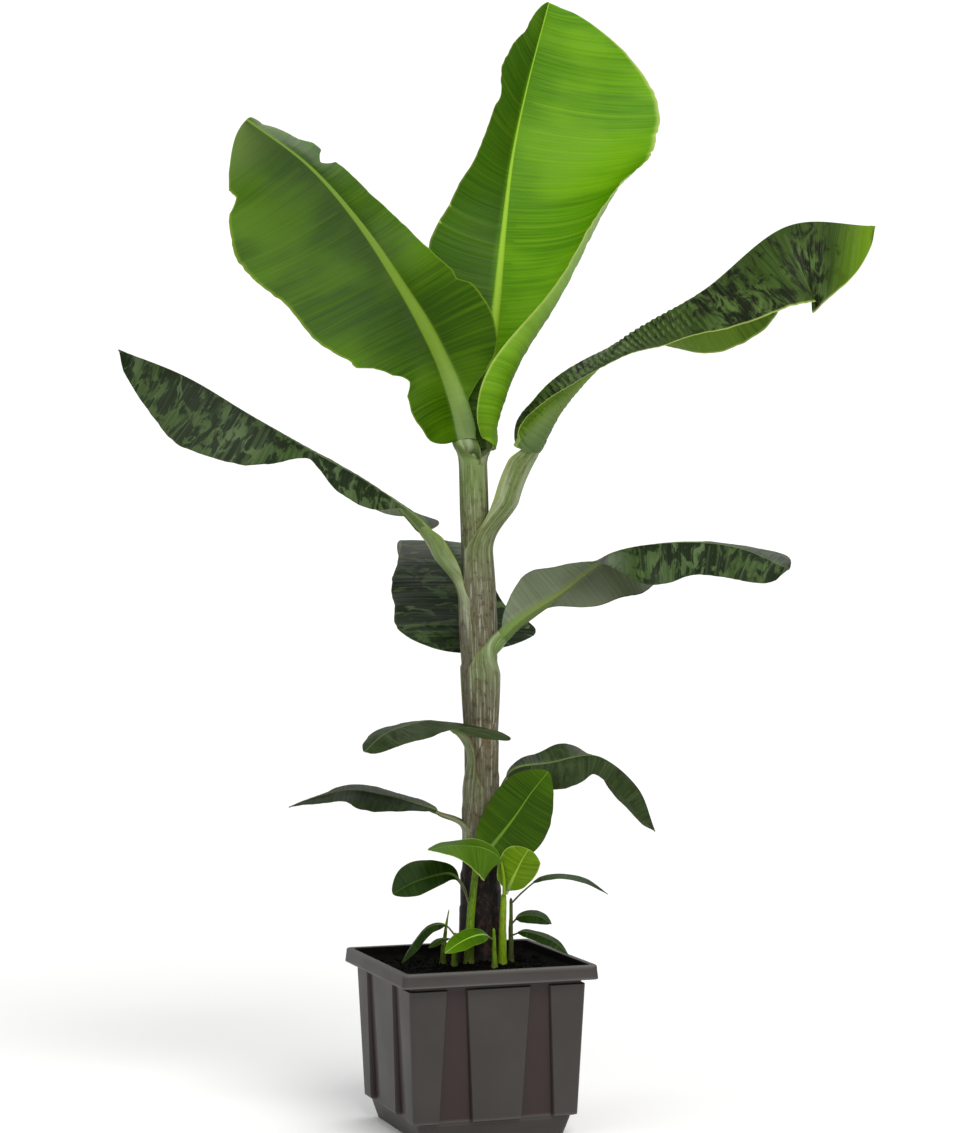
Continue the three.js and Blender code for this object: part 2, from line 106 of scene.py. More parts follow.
# Heading in degrees, height of the throat and drop of the margins, mm.
OLD_SHEATHS = [
    (150, 668, 100), (330, 610, 120), (60, 560, 110), (205, 500, 90),
    (20, 436, 60), (120, 396, 50), (250, 345, 45), (0, 300, 35),
]
SUCKERS = {
    "left": dict(foot=(0, -9), top=397, lean=(12, -3), radius=(7, 5), skin="shoot_green"),
    "right": dict(foot=(50, -9), top=350, lean=(2, -1), radius=(6, 4.5), skin="shoot_bright"),
    "behind": dict(foot=(63, 17), top=340, lean=(0, 0), radius=(3.6, 2.6), skin="shoot_dark"),
    "front": dict(foot=(38, -26), top=300, lean=(-1, 0), radius=(3.4, 2.4), skin="shoot_green"),
    "spear": dict(foot=(-39, 10), top=323, lean=(9, 2), radius=(4, 1.2), skin="shoot_green"),
    "side": dict(foot=(-22, -8), top=291, lean=(2, 0), radius=(3.8, 2.8), skin="shoot_green"),
}

# A list holds values at even steps from a leaf's root, or from its blade's base, to the tip.
# heading: degrees anticlockwise from u. out, drift, up: the midrib's way ahead, leftward and up.
# stalk: length before the blade. rib: half widths of the stalk at its foot and at the blade.
# left, right: widths of the halves; right is like left where it isn't given.
# ends: shares of the blade over which it narrows to its base and its tip.
# fold: degrees that a half rises. curl: more of it towards the margin, by curlPower.
# roll: degrees that the blade turns about its rib. sweep: how far the margin runs ahead.
# hollow: depth of the rib's groove. ladder: height of the ridges across the blade.
# parts: where the stalk starts to leave the stem, and over what length. hold: degrees that its
# sheath reaches round the stem to each side. lift: how proud the sheath stands.
# shade: the half with painted shade, its amount, and painted shade along the rib. green: how green
# the stalk is.
# look: materials of the two sides. pleat, ruffle: heights of the fine folds and of the waves.
# tears: side, share along the blade, depth and half length of a notch, or a lobe where negative.
# LEAF holds what a leaf has unless its own sizes say otherwise.
LEAF = dict(
    drift=[0], ends=(0.15, 0.4), curlLeft=[0], curlRight=[0], curlPower=[2], roll=[0], sweep=[0.1],
    hollow=0.4, ladder=0, shade=(1, 0, 0), green=1, tears=[],
)
MAIN_LEAVES = {
    "top": dict(
        root=(27, 42, 1004), heading=90, stalk=14, rib=(15, 12), parts=(-12, 40),
        out=[0, 28, 60, 92, 122, 150, 180], drift=[0, -3, -15, -26, -40, -64, -98],
        up=[0, 120, 240, 358, 476, 594, 728],
        left=[44, 52, 76, 100, 114, 88, 68, 70, 84, 50, 30],
        right=[52, 112, 138, 160, 178, 196, 214, 222, 212, 186, 155],
        ends=(0.06, 0.2), roll=[0, -5, 5, 35, 42], foldLeft=[0, 8, 15, 28, 18],
        foldRight=[50, 18, 8, 20, 22], curlLeft=[30, 20, 5, 0],
        curlRight=[170, 150, 122, 112, 108, 85, 45, 12, 0, 0, 0],
        curlPower=[1.3, 1.7, 3, 3, 3, 3, 3], sweep=[0, 0.15, 0.2, 0.2],
        hollow=0.3, shade=(1, 0.55, 0.12), hold=170, lift=0.4,
        look="bright", pleat=0.8, ruffle=2.5,
        tears=[("left", 0.765, -10, 0.03), ("left", 0.72, 6, 0.02)],
    ),
    "upper_left": dict(
        root=(10, 26, 939), heading=175, stalk=95, rib=(23, 20), parts=(48, 42),
        out=[0, 22, 64, 119, 183, 257, 350], up=[0, 125, 237, 333, 427, 510, 580],
        left=[84, 103, 84, 142, 172, 176, 192, 190, 158, 132, 104],
        right=[0, 20, 88, 100, 75, 62, 57, 58, 66, 72, 66],
        ends=(0.05, 0.22), roll=[-45, -60, -65, -65], foldLeft=[20, 5, 0, 0],
        foldRight=[8, 36, 38, 10, -15, -38, -46], sweep=[-0.2, 0.05, 0.15],
        hollow=0.05, shade=(1, 0.1, 0.5), hold=150, lift=1.2, green=0.9,
        look="fresh", pleat=0.5, ruffle=6.5,
        tears=[("left", 0.19, 14, 0.03), ("left", 0.86, 14, 0.03), ("left", 0.28, -10, 0.02),
               ("right", 0.79, 34, 0.022), ("right", 0.84, -12, 0.03), ("right", 0.36, 8, 0.02)],
    ),
    "left": dict(
        root=(-5, 25, 790), heading=190, stalk=120, rib=(20, 15),
        out=[0, 50, 130, 225, 320, 420, 520], up=[0, 100, 166, 219, 272, 330, 369],
        left=[8, 14, 56, 60, 26, 76, 94, 104, 89, 73, 52], right=[84, 86, 92, 92, 90, 78, 60],
        ends=(0.05, 0.25), foldLeft=[-60, -50, -50, -65, -75, -75],
        foldRight=[30, -15, 6, -12, -20, -22, -20], sweep=[-0.3, 0, 0.1],
        shade=(1, 0, 0.3), hold=50, lift=2.8, green=0.8,
        look="dark", pleat=0.6, ruffle=3.5, tears=[("left", 0.5, 5, 0.04)],
    ),
    "upper_right": dict(
        root=(28, 20, 850), heading=-8, stalk=175, rib=(24, 22.5), parts=(8, 90),
        out=[0, 35, 105, 206, 325, 448, 578], up=[0, 131, 236, 331, 402, 494, 492],
        left=[92, 62, 60, 50, 84, 108, 114, 102, 100, 106, 96],
        right=[36, 34, 40, 64, 84, 92, 112, 130, 136, 152, 172],
        ends=(0.1, 0.16), foldLeft=[40, 40, 10, -50, -62, -50, -15],
        foldRight=[85, 0, -30, -45, -60, -76, -52], sweep=[-0.1, 0, 0, 0],
        ladder=1.1, hold=135, lift=2.0, green=0.55, look="veined", pleat=0.8, ruffle=3,
    ),
    "right": dict(
        root=(9, 20, 685), heading=-12, stalk=60, rib=(21, 11),
        out=[0, 55, 130, 212, 305, 395, 473], up=[0, 62, 115, 174, 190, 182, 150],
        left=[0, 2, 14, 52, 66, 76, 82, 78, 69, 60, 52],
        right=[0, 38, 60, 53, 60, 76, 70, 54, 53, 50, 34],
        ends=(0.05, 0.06), roll=[-80, -70, -40, 0, 0, 0], foldLeft=[-10, -20, -45, -45, -5, 4, 25],
        foldRight=[-10, -20, -60, -60, -55], sweep=[0, 0.05],
        shade=(1, 0.3, 0), hold=115, lift=3.6, look="dark", pleat=0.6, ruffle=3,
    ),
    "back": dict(
        root=(14, 58, 698), heading=103, stalk=14, rib=(14, 10),
        out=[0, 60, 120, 190, 270, 350, 430], up=[0, 60, 118, 162, 184, 162, 104],
        left=[105, 125, 119, 113, 98, 81, 72, 66, 60, 50, 40],
        right=[80, 98, 60, 46, 40, 40, 40, 36, 32, 28, 24],
        ends=(0.1, 0.3), foldLeft=[10, 0, -10], foldRight=[10, 0, -20], sweep=[-0.15, 0.05],
        shade=(1, 0.3, 0.2), hold=80, lift=3.0, green=0.7, look="dark", pleat=0.6, ruffle=4,
    ),
    "front_left": dict(
        root=(14, 8, 505), heading=210, stalk=100, rib=(11, 7),
        out=[0, 5, 30, 75, 120, 160, 192], up=[0, 45, 86, 104, 99, 86, 62],
        left=[78, 68, 60, 46, 30], right=[50, 50, 45, 46, 30], ends=(0.1, 0.25),
        foldLeft=[14, -12, -20], foldRight=[0, -5], sweep=[-1, -0.1, 0.1],
        hold=70, lift=2.4, green=0.5, look="plain", pleat=0.4, ruffle=3,
    ),
    "low_left": dict(
        root=(-3, 25, 438), heading=178, stalk=55, rib=(9, 5),
        out=[0, 40, 85, 130, 175, 225, 270], up=[0, 30, 46, 57, 63, 53, 37],
        left=[14, 22, 33, 40, 46, 45, 34, 32, 29, 24, 18], right=[30, 42, 42, 35, 20],
        ends=(0.1, 0.35), foldLeft=[-20, -35, -25, -10], foldRight=[5],
        shade=(1, 0.4, 0.4), hold=70, lift=2.4, green=0.7, look="plain", pleat=0.4, ruffle=2,
    ),
    "low_right": dict(
        root=(40, 45, 420), heading=0, stalk=105, rib=(8, 5),
        out=[0, 4, 24, 84, 155, 215, 242], up=[0, 62, 110, 122, 131, 84, 17],
        left=[30, 36, 38, 38, 30], right=[34, 40, 48, 56, 50, 36, 38, 38, 34, 30, 20],
        ends=(0.1, 0.35), foldLeft=[5, 22, 38, -20, -65, -80, -80], foldRight=[-50],
        sweep=[-0.2, 0.1], hold=70, lift=2.4, green=0.7, look="plain", pleat=0.4, ruffle=3,
    ),
}
SUCKER_LEAVES = {
    "left_big": dict(
        root=(13, -11, 397.5), heading=4, stalk=14, rib=(5, 3.5),
        out=[0, 30, 58, 80, 106], up=[0, 34, 70, 102, 134],
        left=[26, 40, 46, 40, 26], right=[30, 54, 56, 40, 24], ends=(0.15, 0.3),
        roll=[80], foldLeft=[15], foldRight=[10], sweep=[0, 0.1], look="glossy",
    ),
    "left_dark": dict(
        root=(3, -11, 331), heading=195, stalk=45, rib=(3.5, 2.5),
        out=[0, 12, 29, 52, 88, 120], up=[0, 30, 48, 48, 38, 22],
        left=[6, 18, 24, 18], right=[6, 24, 30, 22],
        roll=[-60], foldLeft=[10], foldRight=[10], sweep=[0, 0.1], look="young",
    ),
    "right_pale": dict(
        root=(53, -20, 349), heading=208, stalk=50, rib=(3.5, 2.5),
        out=[0, 1, 8, 38, 84, 127], up=[0, 28, 55, 72, 77, 73],
        left=[46, 50, 38, 20], right=[9, 30, 36, 22], ends=(0.15, 0.35),
        foldLeft=[-78, -62, -30, -12], foldRight=[50, 8, 0], sweep=[0, 0.1], look="pale",
    ),
    "right_cupped": dict(
        root=(55, -13, 350.5), heading=272, stalk=6, rib=(3.5, 3),
        out=[0, 6, 12, 18, 24], drift=[0, 8, 16, 24, 33], up=[0, 18, 36, 53, 68],
        left=[20, 33, 34, 22], right=[18, 28, 30, 20], ends=(0.15, 0.3),
        foldLeft=[20], foldRight=[20], sweep=[0, 0.1], look="sap",
    ),
    "behind_long": dict(
        root=(64, 16, 333), heading=-5, stalk=45, rib=(2.5, 2),
        out=[0, 18, 42, 77, 115, 145], up=[0, 18, 37, 43, 34, 14],
        left=[12, 18, 14, 8], right=[14, 20, 16, 8],
        foldLeft=[0], foldRight=[-15], sweep=[-0.2, 0.1], look="young",
    ),
    "behind_mid": dict(
        root=(64, 15, 303), heading=-15, stalk=8, rib=(2.5, 2),
        out=[0, 10, 26, 44, 62], up=[0, 9, 12, 10, 0],
        left=[12, 16, 15, 9], foldLeft=[20], foldRight=[-40], look="young",
    ),
    "behind_low": dict(
        root=(64, 14, 285), heading=-20, stalk=10, rib=(2.5, 2),
        out=[0, 18, 42, 70, 90], up=[0, 6, 2, -9, -26],
        left=[10, 14, 12, 7], foldLeft=[10], foldRight=[-40], look="young",
    ),
    "front_leaf": dict(
        root=(35, -28, 286), heading=215, stalk=8, rib=(2.5, 2),
        out=[0, 16, 38, 62, 85], up=[0, 6, 4, -4, -16],
        left=[12, 17, 16, 10], roll=[-25], foldLeft=[-10], foldRight=[10], look="fresh",
    ),
    "side_arched": dict(
        root=(-21, -8, 288), heading=185, stalk=20, rib=(2.5, 2),
        out=[0, 14, 38, 60, 80], up=[0, 15, 12, -10, -42],
        left=[12, 16, 16, 9], foldLeft=[-35], foldRight=[0], look="young",
    ),
    "side_small": dict(
        root=(-25, -12, 282), heading=215, stalk=8, rib=(2, 1.6),
        out=[0, 8, 24, 42], up=[0, 2, 0, -10],
        left=[7, 9, 6], foldLeft=[-20], foldRight=[0], look="young",
    ),
}


# ---------- numbers ----------
def lerp(a, b, t):
    return a + (b - a) * t


def smooth(t):
    t = np.clip(t, 0, 1)
    return t * t * (3 - 2 * t)


def unit(v):
    return v / (np.linalg.norm(v, axis=-1, keepdims=True) + 1e-12)


def seed_of(name):
    return zlib.crc32(name.encode())


def along(values, t):
    """Smooth value at t, 0 to 1, of a list of evenly spaced values."""
    values = np.asarray(values, float)
    t = np.clip(np.asarray(t, float), 0, 1)
    if len(values) == 1:
        return np.full(t.shape, values[0])
    last = len(values) - 1
    i = np.minimum((t * last).astype(int), last - 1)
    f = t * last - i
    b, c = values[i], values[i + 1]
    a = np.where(i > 0, values[np.maximum(i - 1, 0)], 2 * b - c)
    d = np.where(i < last - 1, values[np.minimum(i + 2, last)], 2 * c - b)
    return b + 0.5 * f * (c - a + f * (2 * a - 5 * b + 4 * c - d + f * (3 * (b - c) + d - a)))


def ripple(x, wavelength, seed, size=1024, origin=300):
    """Smooth random values from -1 to 1 along x."""
    table = np.random.default_rng(seed).uniform(-1, 1, size)
    p = np.asarray(x, float) / wavelength + origin
    i = np.floor(p).astype(int)
    return lerp(table[i % size], table[(i + 1) % size], smooth(p - i))


def ripple2(x, y, wavelength, seed, size=128, origin=40):
    """Smooth random values from -1 to 1 over x and y."""
    table = np.random.default_rng(seed).uniform(-1, 1, (size, size))
    p = np.asarray(x, float) / wavelength + origin
    q = np.asarray(y, float) / wavelength + origin
    i, j = np.floor(p).astype(int), np.floor(q).astype(int)
    f, g = smooth(p - i), smooth(q - j)
    at = lambda a, b: table[a % size, b % size]
    return lerp(lerp(at(i, j), at(i + 1, j), f), lerp(at(i, j + 1), at(i + 1, j + 1), f), g)


def world(points):
    """Plant-frame millimetres to row-frame metres."""
    x, y, z = np.moveaxis(np.asarray(points, float) * MILLIMETRE, -1, 0)
    c, s = math.cos(PLANT_TURN), math.sin(PLANT_TURN)
    return np.stack([x * c - y * s, x * s + y * c, z], -1)


def round_angles(columns):
    """Evenly spaced angles of a full turn, as one row."""
    return (np.arange(columns) * 2 * math.pi / columns)[None]


def outward(angles):
    """Level directions at these angles."""
    return np.stack([np.cos(angles), np.sin(angles), 0 * angles], -1)


def stem_share(z):
    """Height as a share of the main stem, 0 at the soil and 1 at its top."""
    return (z - SOIL_TOP) / (STEM["top"] - SOIL_TOP)


# ---------- meshes ----------
def closed_tube(rows, columns):
    """Faces of a tube of closed rings with both ends capped. They face out where the rings run
    anticlockwise seen from the last."""
    i, j = np.arange(rows - 1)[:, None] * columns, np.arange(columns)[None]
    k = (j + 1) % columns
    faces = np.stack([i + j, i + k, i + columns + k, i + columns + j], -1).reshape(-1, 4).tolist()
    last = (rows - 1) * columns
    return faces + [list(range(columns))[::-1], list(range(last, last + columns))]


def sheet_faces(rows, columns, start=0):
    """Quads of an open grid, facing up where rows run forward and columns leftward."""
    i, j = np.arange(rows - 1)[:, None], np.arange(columns - 1)[None]
    a = i * columns + j
    return np.stack([a, a + columns, a + columns + 1, a + 1], -1).reshape(-1, 4) + start


class Mesh:
    """Points, faces and values gathered for one piece."""

    def __init__(self):
        self.points, self.faces, self.slots, self.uv, self.values = [], [], [], [], {}
        self.count = 0

    def add(self, points, faces, slot=0, uv=None, **values):
        """slot: one material for all faces, or a list. values: kept as attributes of the points."""
        points = np.asarray(points, float).reshape(-1, 3)
        self.points.append(points)
        self.faces += [tuple(int(x) + self.count for x in face) for face in faces]
        self.slots += [slot] * len(faces) if np.isscalar(slot) else list(slot)
        self.uv.append(np.zeros((len(points), 2)) if uv is None else np.asarray(uv).reshape(-1, 2))
        for key, value in values.items():
            chunk = (self.count, np.asarray(value, float).ravel())
            self.values.setdefault(key, []).append(chunk)
        self.count += len(points)

    def finish(self, name, materials, node, turned=True, sharp=50):
        """Makes the piece with the given materials and puts it in a solid's place.
        turned: its points are in the plant's frame. sharp: degrees."""
        points = np.concatenate(self.points)
        mesh = bpy.data.meshes.new(name)
        places = world(points) if turned else points * MILLIMETRE
        mesh.from_pydata(places.tolist(), [], self.faces)
        loops = np.zeros(len(mesh.loops), np.int32)
        mesh.loops.foreach_get("vertex_index", loops)
        uv = np.concatenate(self.uv)[loops]
        mesh.uv_layers.new(name="Blade").data.foreach_set("uv", uv.ravel())
        for key, chunks in self.values.items():
            whole = np.zeros(self.count)
            for start, value in chunks:
                whole[start:start + len(value)] = value
            mesh.attributes.new(key, "FLOAT", "POINT").data.foreach_set("value", whole)
        for material in materials:
            mesh.materials.append(material)
        mesh.polygons.foreach_set("material_index", np.array(self.slots, np.int32))
        mesh.polygons.foreach_set("use_smooth", np.ones(len(mesh.polygons), bool))
        mesh.set_sharp_from_angle(angle=math.radians(sharp))
        mesh.update()
        piece = bpy.data.objects.new(name, mesh)
        bpy.context.scene.collection.objects.link(piece)
        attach(piece, BODY)
        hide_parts(node)


# ---------- materials ----------
def linear(colour):
    """An 8-bit colour as a linear one. Anything else is handed back as it is."""
    if not isinstance(colour, tuple) or len(colour) != 3:
        return colour
    shares = [c / 255 for c in colour]
    return tuple(c / 12.92 if c <= 0.04 else ((c + 0.055) / 1.055) ** 2.4 for c in shares) + (1,)


class Shader:
    """A material under construction: each call adds a node and returns its output. A colour is
    an output, three 8-bit numbers, or a linear colour of four."""

    def __init__(self, name, specular):
        self.material = bpy.data.materials.new(name)
        self.material.use_nodes = True
        self.tree = self.material.node_tree
        self.bsdf = self.tree.nodes["Principled BSDF"]
        self.bsdf.inputs["Specular IOR Level"].default_value = specular

    def feed(self, socket, value):
        if isinstance(value, bpy.types.NodeSocket):
            self.tree.links.new(value, socket)
        else:
            socket.default_value = value

    def add(self, kind, inputs, **settings):
        node = self.tree.nodes.new("ShaderNode" + kind)
        for key, value in settings.items():
            setattr(node, key, value)
        for key, value in inputs.items():
            self.feed(node.inputs[key], value)
        return node

    def uv(self):
        return self.add("UVMap", {}, uv_map="Blade").outputs["UV"]

    def place(self):
        return self.add("TexCoord", {}).outputs["Object"]

    def value(self, name):
        node = self.add("Attribute", {}, attribute_name=name, attribute_type="GEOMETRY")
        return node.outputs["Fac"]

    def math(self, operation, a, b):
        return self.add("Math", {0: a, 1: b}, operation=operation).outputs[0]

    def times(self, a, b):
        return self.math("MULTIPLY", a, b)

    def plus(self, a, b):
        return self.math("ADD", a, b)

    def swing(self, value, amount):
        """How far a value is from a half, times an amount."""
        return self.times(self.math("SUBTRACT", value, 0.5), amount)

    def scaled(self, vector, x, y, z=1.0):
        inputs = {0: vector, 1: (x, y, z)}
        return self.add("VectorMath", inputs, operation="MULTIPLY").outputs[0]

    def noise(self, vector, scale=1.0, detail=2.0, roughness=0.5, distortion=0.0):
        node = self.add("TexNoise", {"Vector": vector, "Scale": scale, "Detail": detail,
                                     "Roughness": roughness, "Distortion": distortion})
        return node.outputs[0]

    def step(self, value, low, high):
        """0 below low and 1 above high, with a smooth way between them."""
        inputs = {0: value, 1: low, 2: high}
        return self.add("MapRange", inputs, interpolation_type="SMOOTHSTEP").outputs[0]

    def range(self, value, low, high, to_low, to_high):
        inputs = {0: value, 1: low, 2: high, 3: to_low, 4: to_high}
        return self.add("MapRange", inputs).outputs[0]

    def mix(self, factor, a, b):
        inputs = {0: factor, 6: linear(a), 7: linear(b)}
        return self.add("Mix", inputs, data_type="RGBA").outputs[2]

    def tint(self, colour, other, where, amount):
        """A colour with another laid over it, by an amount, where a mask is 1."""
        return self.mix(self.times(where, amount), colour, other)

    def bump(self, height, distance, strength):
        node = self.add("Bump", {"Height": height, "Distance": distance, "Strength": strength})
        self.tree.links.new(node.outputs[0], self.bsdf.inputs["Normal"])

    def done(self, colour, roughness):
        self.feed(self.bsdf.inputs["Base Color"], colour)
        self.feed(self.bsdf.inputs["Roughness"], roughness)
        return self.material


# The second colour is the dark green of the painted shade laid over the blades.
PETIOLE_GREEN, PAINTED_SHADE_GREEN = (98, 122, 62), (10, 22, 2)
EDGE_BROWN, EDGE_DARK, EDGE_PALE = (98, 84, 34), (52, 60, 24), (168, 186, 96)


def leaf_material(name, base, light, dark, rib, vein, edge, rough, patches=None, tip=None,
                  limb=PETIOLE_GREEN):
    """Skin of a blade. patches: colour, share of cover and crispness of the mottling. tip: colour
    of the tip and the share of the blade where it starts. limb: colour of the rib's foot."""
    s = Shader(name, 0.08)
    uv = s.uv()
    streak = s.noise(s.scaled(uv, 0.5, 26), 1, 3, 0.6)
    fine = s.noise(s.scaled(uv, 1.2, 95))
    cloud = s.noise(s.scaled(uv, 0.55, 0.9))
    colour = s.mix(s.step(streak, 0.28, 0.72), dark, base)
    colour = s.tint(colour, light, s.step(cloud, 0.42, 0.66), 0.55)
    if patches:
        shade, cover, crisp = patches
        spots = s.noise(s.scaled(uv, 2.8, 5.4), 1, 4, 0.6, 0.9)
        mottled = s.plus(spots, s.swing(streak, 0.3))
        mottled = s.plus(mottled, s.swing(cloud, 0.5))
        colour = s.mix(s.step(mottled, 1 - cover - crisp, 1 - cover + crisp), colour, shade)
    if tip:
        tip_colour, tip_from = tip
        colour = s.mix(s.step(s.value("share"), tip_from, 1.0), colour, tip_colour)
    colour = s.tint(colour, vein, s.step(s.value("vein"), 0.6, 0.95), 0.45)
    colour = s.tint(colour, vein, s.step(fine, 0.5, 0.75), 0.18)
    colour = s.tint(colour, edge, s.step(s.value("edge"), 0.2, 1.0), 0.7)
    midrib = s.mix(s.step(s.value("share"), 0.0, 0.3), limb, rib)
    colour = s.mix(s.step(s.value("rib"), 0.02, 0.35), colour, midrib)
    # Painted shade: a darker green laid on one half of the blade and along its rib.
    colour = s.mix(s.value("tone"), colour, PAINTED_SHADE_GREEN)
    s.bump(s.plus(s.times(fine, 0.5), s.times(streak, 0.8)), 0.0009, 0.5)
    return s.done(colour, s.range(streak, 0.3, 0.7, rough - 0.06, rough + 0.08))


def skin_material(name, foot, middle, top, green, streaks, blotch, rough,
                  heights=(0.1, 0.4, 0.5, 0.9)):
    """Skin of a stem or stalk: colours by height, greener on young stalks, with long streaks.
    heights: shares of the stem where the foot's colour gives way, and then the middle's."""
    s = Shader(name, 0.18)
    uv = s.uv()
    level = s.value("level")
    fibre = s.noise(s.scaled(uv, 30, 1.1), 1, 4, 0.62, 0.15)
    wide = s.noise(s.scaled(uv, 9, 1.3), 1, 3, 0.55, 0.3)
    specks = s.noise(s.scaled(uv, 12, 7), 1, 3, 0.7, 0.2)
    shifted = s.plus(level, s.swing(wide, 0.12))
    colour = s.mix(s.step(shifted, heights[0], heights[1]), foot, middle)
    colour = s.mix(s.step(shifted, heights[2], heights[3]), colour, top)
    colour = s.mix(s.value("green"), colour, green)
    bloom = s.times(s.step(fibre, 0.5, 0.72), s.step(shifted, heights[0], heights[1]))
    bloom = s.times(bloom, s.range(s.value("green"), 0, 1, 0.85, 0.2))
    colour = s.mix(bloom, colour, streaks[0])
    colour = s.tint(colour, streaks[1], s.step(fibre, 0.46, 0.3), 0.6)
    brown = s.times(s.step(specks, 0.48, 0.66), s.range(s.value("green"), 0, 1, 0.7, 0.08))
    colour = s.mix(brown, colour, blotch)
    dusting = s.noise(s.scaled(uv, 3.5, 0.7))
    powder = s.times(s.step(dusting, 0.44, 0.66), s.value("green"))
    colour = s.tint(colour, (172, 182, 148), powder, 0.7)
    colour = s.tint(colour, (84, 56, 30), s.value("papery"), 0.85)
    colour = s.tint(colour, (124, 132, 56), s.step(s.value("margin"), 0.55, 1.0), 0.5)
    s.bump(s.plus(fibre, s.times(wide, 0.5)), 0.0011, 0.6)
    return s.done(colour, s.range(wide, 0.3, 0.7, rough - 0.1, rough + 0.1))


# The pot's inside: near black with faint flecks, a painted shade for the shadow that fills the pot.
def painted_shade_inside_material():
    s = Shader("pot_inside_painted_shade", 0.05)
    dust = s.noise(s.place(), 60, 4, 0.6)
    colour = s.mix(s.step(dust, 0.45, 0.75), (10, 9, 8), (24, 20, 15))
    s.bump(dust, 0.0004, 0.4)
    return s.done(colour, s.range(dust, 0.3, 0.7, 0.75, 0.9))


def pot_material():
    s = Shader("pot_plastic", 0.4)
    place = s.place()
    grain = s.noise(place, 900, 2, 0.6)
    cloud = s.noise(place, 9, 3, 0.5)
    scuff = s.noise(s.scaled(place, 30, 30, 220), 1, 3, 0.6, 0.6)
    colour = s.mix(s.step(cloud, 0.35, 0.7), (43, 39, 36), (49, 45, 42))
    colour = s.mix(s.value("recess"), colour, (38, 24, 23))
    colour = s.tint(colour, (74, 70, 65), s.step(scuff, 0.66, 0.8), 0.2)
    # Painted highlight: a paler colour along the rim, the foot and the panels' edges.
    colour = s.tint(colour, (104, 100, 95), s.value("worn"), 0.45)
    s.bump(s.plus(s.times(grain, 0.5), s.times(scuff, 0.15)), 0.0003, 0.35)
    return s.done(colour, s.range(cloud, 0.3, 0.7, 0.46, 0.58))


def soil_material():
    s = Shader("potting_mix", 0.05)
    place = s.place()
    crumbs = s.noise(place, 260, 4, 0.7)
    clods = s.noise(place, 70, 3, 0.6)
    colour = s.mix(s.step(crumbs, 0.35, 0.7), (2, 2, 1), (9, 8, 5))
    colour = s.tint(colour, (22, 18, 11), s.step(clods, 0.58, 0.72), 0.4)
    s.bump(s.plus(crumbs, clods), 0.003, 0.9)
    return s.done(colour, s.range(crumbs, 0.3, 0.7, 0.85, 1.0))


# Base, light, dark, rib, vein and edge colours and roughness, and where a skin has them its
# patches, tip and limb.
UPPER_SKINS = {
    "bright": [
        (84, 138, 0), (108, 160, 10), (62, 110, 0), (148, 188, 54), (124, 168, 30), EDGE_PALE, 0.42,
    ],
    "fresh": [
        (56, 92, 0), (80, 120, 4), (38, 68, 0), (132, 170, 50), (78, 114, 0), (112, 138, 30), 0.42,
        None, ((84, 108, 44), 0.84), (116, 138, 82),
    ],
    "glossy": [
        (48, 78, 0), (74, 110, 0), (32, 54, 0), (92, 126, 34), (62, 96, 12), EDGE_DARK, 0.4,
    ],
    "dark": [
        (62, 82, 42), (92, 112, 74), (40, 58, 22), (86, 102, 56), (84, 104, 62), EDGE_DARK, 0.42,
        ((20, 32, 12), 0.52, 0.05),
    ],
    "plain": [
        (44, 58, 28), (68, 82, 52), (30, 42, 16), (88, 104, 60), (70, 86, 48), EDGE_DARK, 0.42,
        ((24, 34, 14), 0.42, 0.2),
    ],
    "veined": [
        (54, 76, 24), (94, 118, 62), (32, 50, 10), (96, 120, 58), (112, 136, 78), EDGE_PALE, 0.42,
        ((20, 26, 12), 0.46, 0.09), ((92, 126, 14), 0.9), (72, 94, 48),
    ],
    "sap": [
        (92, 128, 4), (112, 148, 20), (70, 104, 0), (130, 162, 44), (110, 146, 24), EDGE_PALE, 0.45,
    ],
    "pale": [
        (68, 102, 16), (92, 126, 40), (50, 80, 8), (104, 134, 50), (92, 122, 36), EDGE_PALE, 0.46,
    ],
    "young": [
        (26, 48, 4), (44, 70, 16), (16, 32, 2), (60, 86, 26), (48, 74, 20), EDGE_DARK, 0.45,
        ((18, 22, 8), 0.36, 0.06),
    ],
}
UNDER_SKINS = {
    "bright": [
        (96, 142, 14), (120, 162, 40), (78, 122, 4), (150, 180, 80), (128, 166, 52), EDGE_PALE,
        0.55, None, ((214, 224, 182), 0.1),
    ],
    "fresh": [
        (88, 120, 46), (112, 142, 72), (68, 98, 28), (132, 158, 84), (110, 138, 66), EDGE_BROWN,
        0.55,
    ],
    "glossy": [
        (52, 78, 20), (70, 98, 36), (38, 60, 10), (84, 110, 44), (70, 96, 36), EDGE_BROWN, 0.5,
    ],
    "dark": [
        (110, 120, 96), (130, 138, 118), (92, 103, 74), (112, 124, 72), (114, 126, 94), EDGE_DARK,
        0.55,
    ],
    "plain": [
        (80, 94, 62), (100, 112, 84), (62, 76, 42), (100, 114, 68), (92, 106, 70), EDGE_DARK, 0.55,
    ],
    "veined": [
        (82, 112, 26), (104, 132, 44), (62, 90, 12), (116, 142, 62), (108, 136, 52), EDGE_PALE, 0.5,
        None, None, (80, 100, 56),
    ],
    "sap": [
        (98, 132, 14), (118, 150, 34), (78, 110, 4), (136, 164, 54), (116, 148, 36), EDGE_PALE, 0.5,
    ],
    "pale": [
        (98, 128, 56), (120, 146, 80), (76, 106, 34), (130, 154, 78), (118, 144, 72), EDGE_PALE,
        0.55,
    ],
    "young": [
        (46, 66, 24), (66, 84, 44), (32, 48, 14), (80, 100, 46), (66, 86, 40), EDGE_BROWN, 0.5,
    ],
}
UPPER = {look: leaf_material(f"leaf_{look}_upper", *skin) for look, skin in UPPER_SKINS.items()}
UNDER = {look: leaf_material(f"leaf_{look}_under", *skin) for look, skin in UNDER_SKINS.items()}
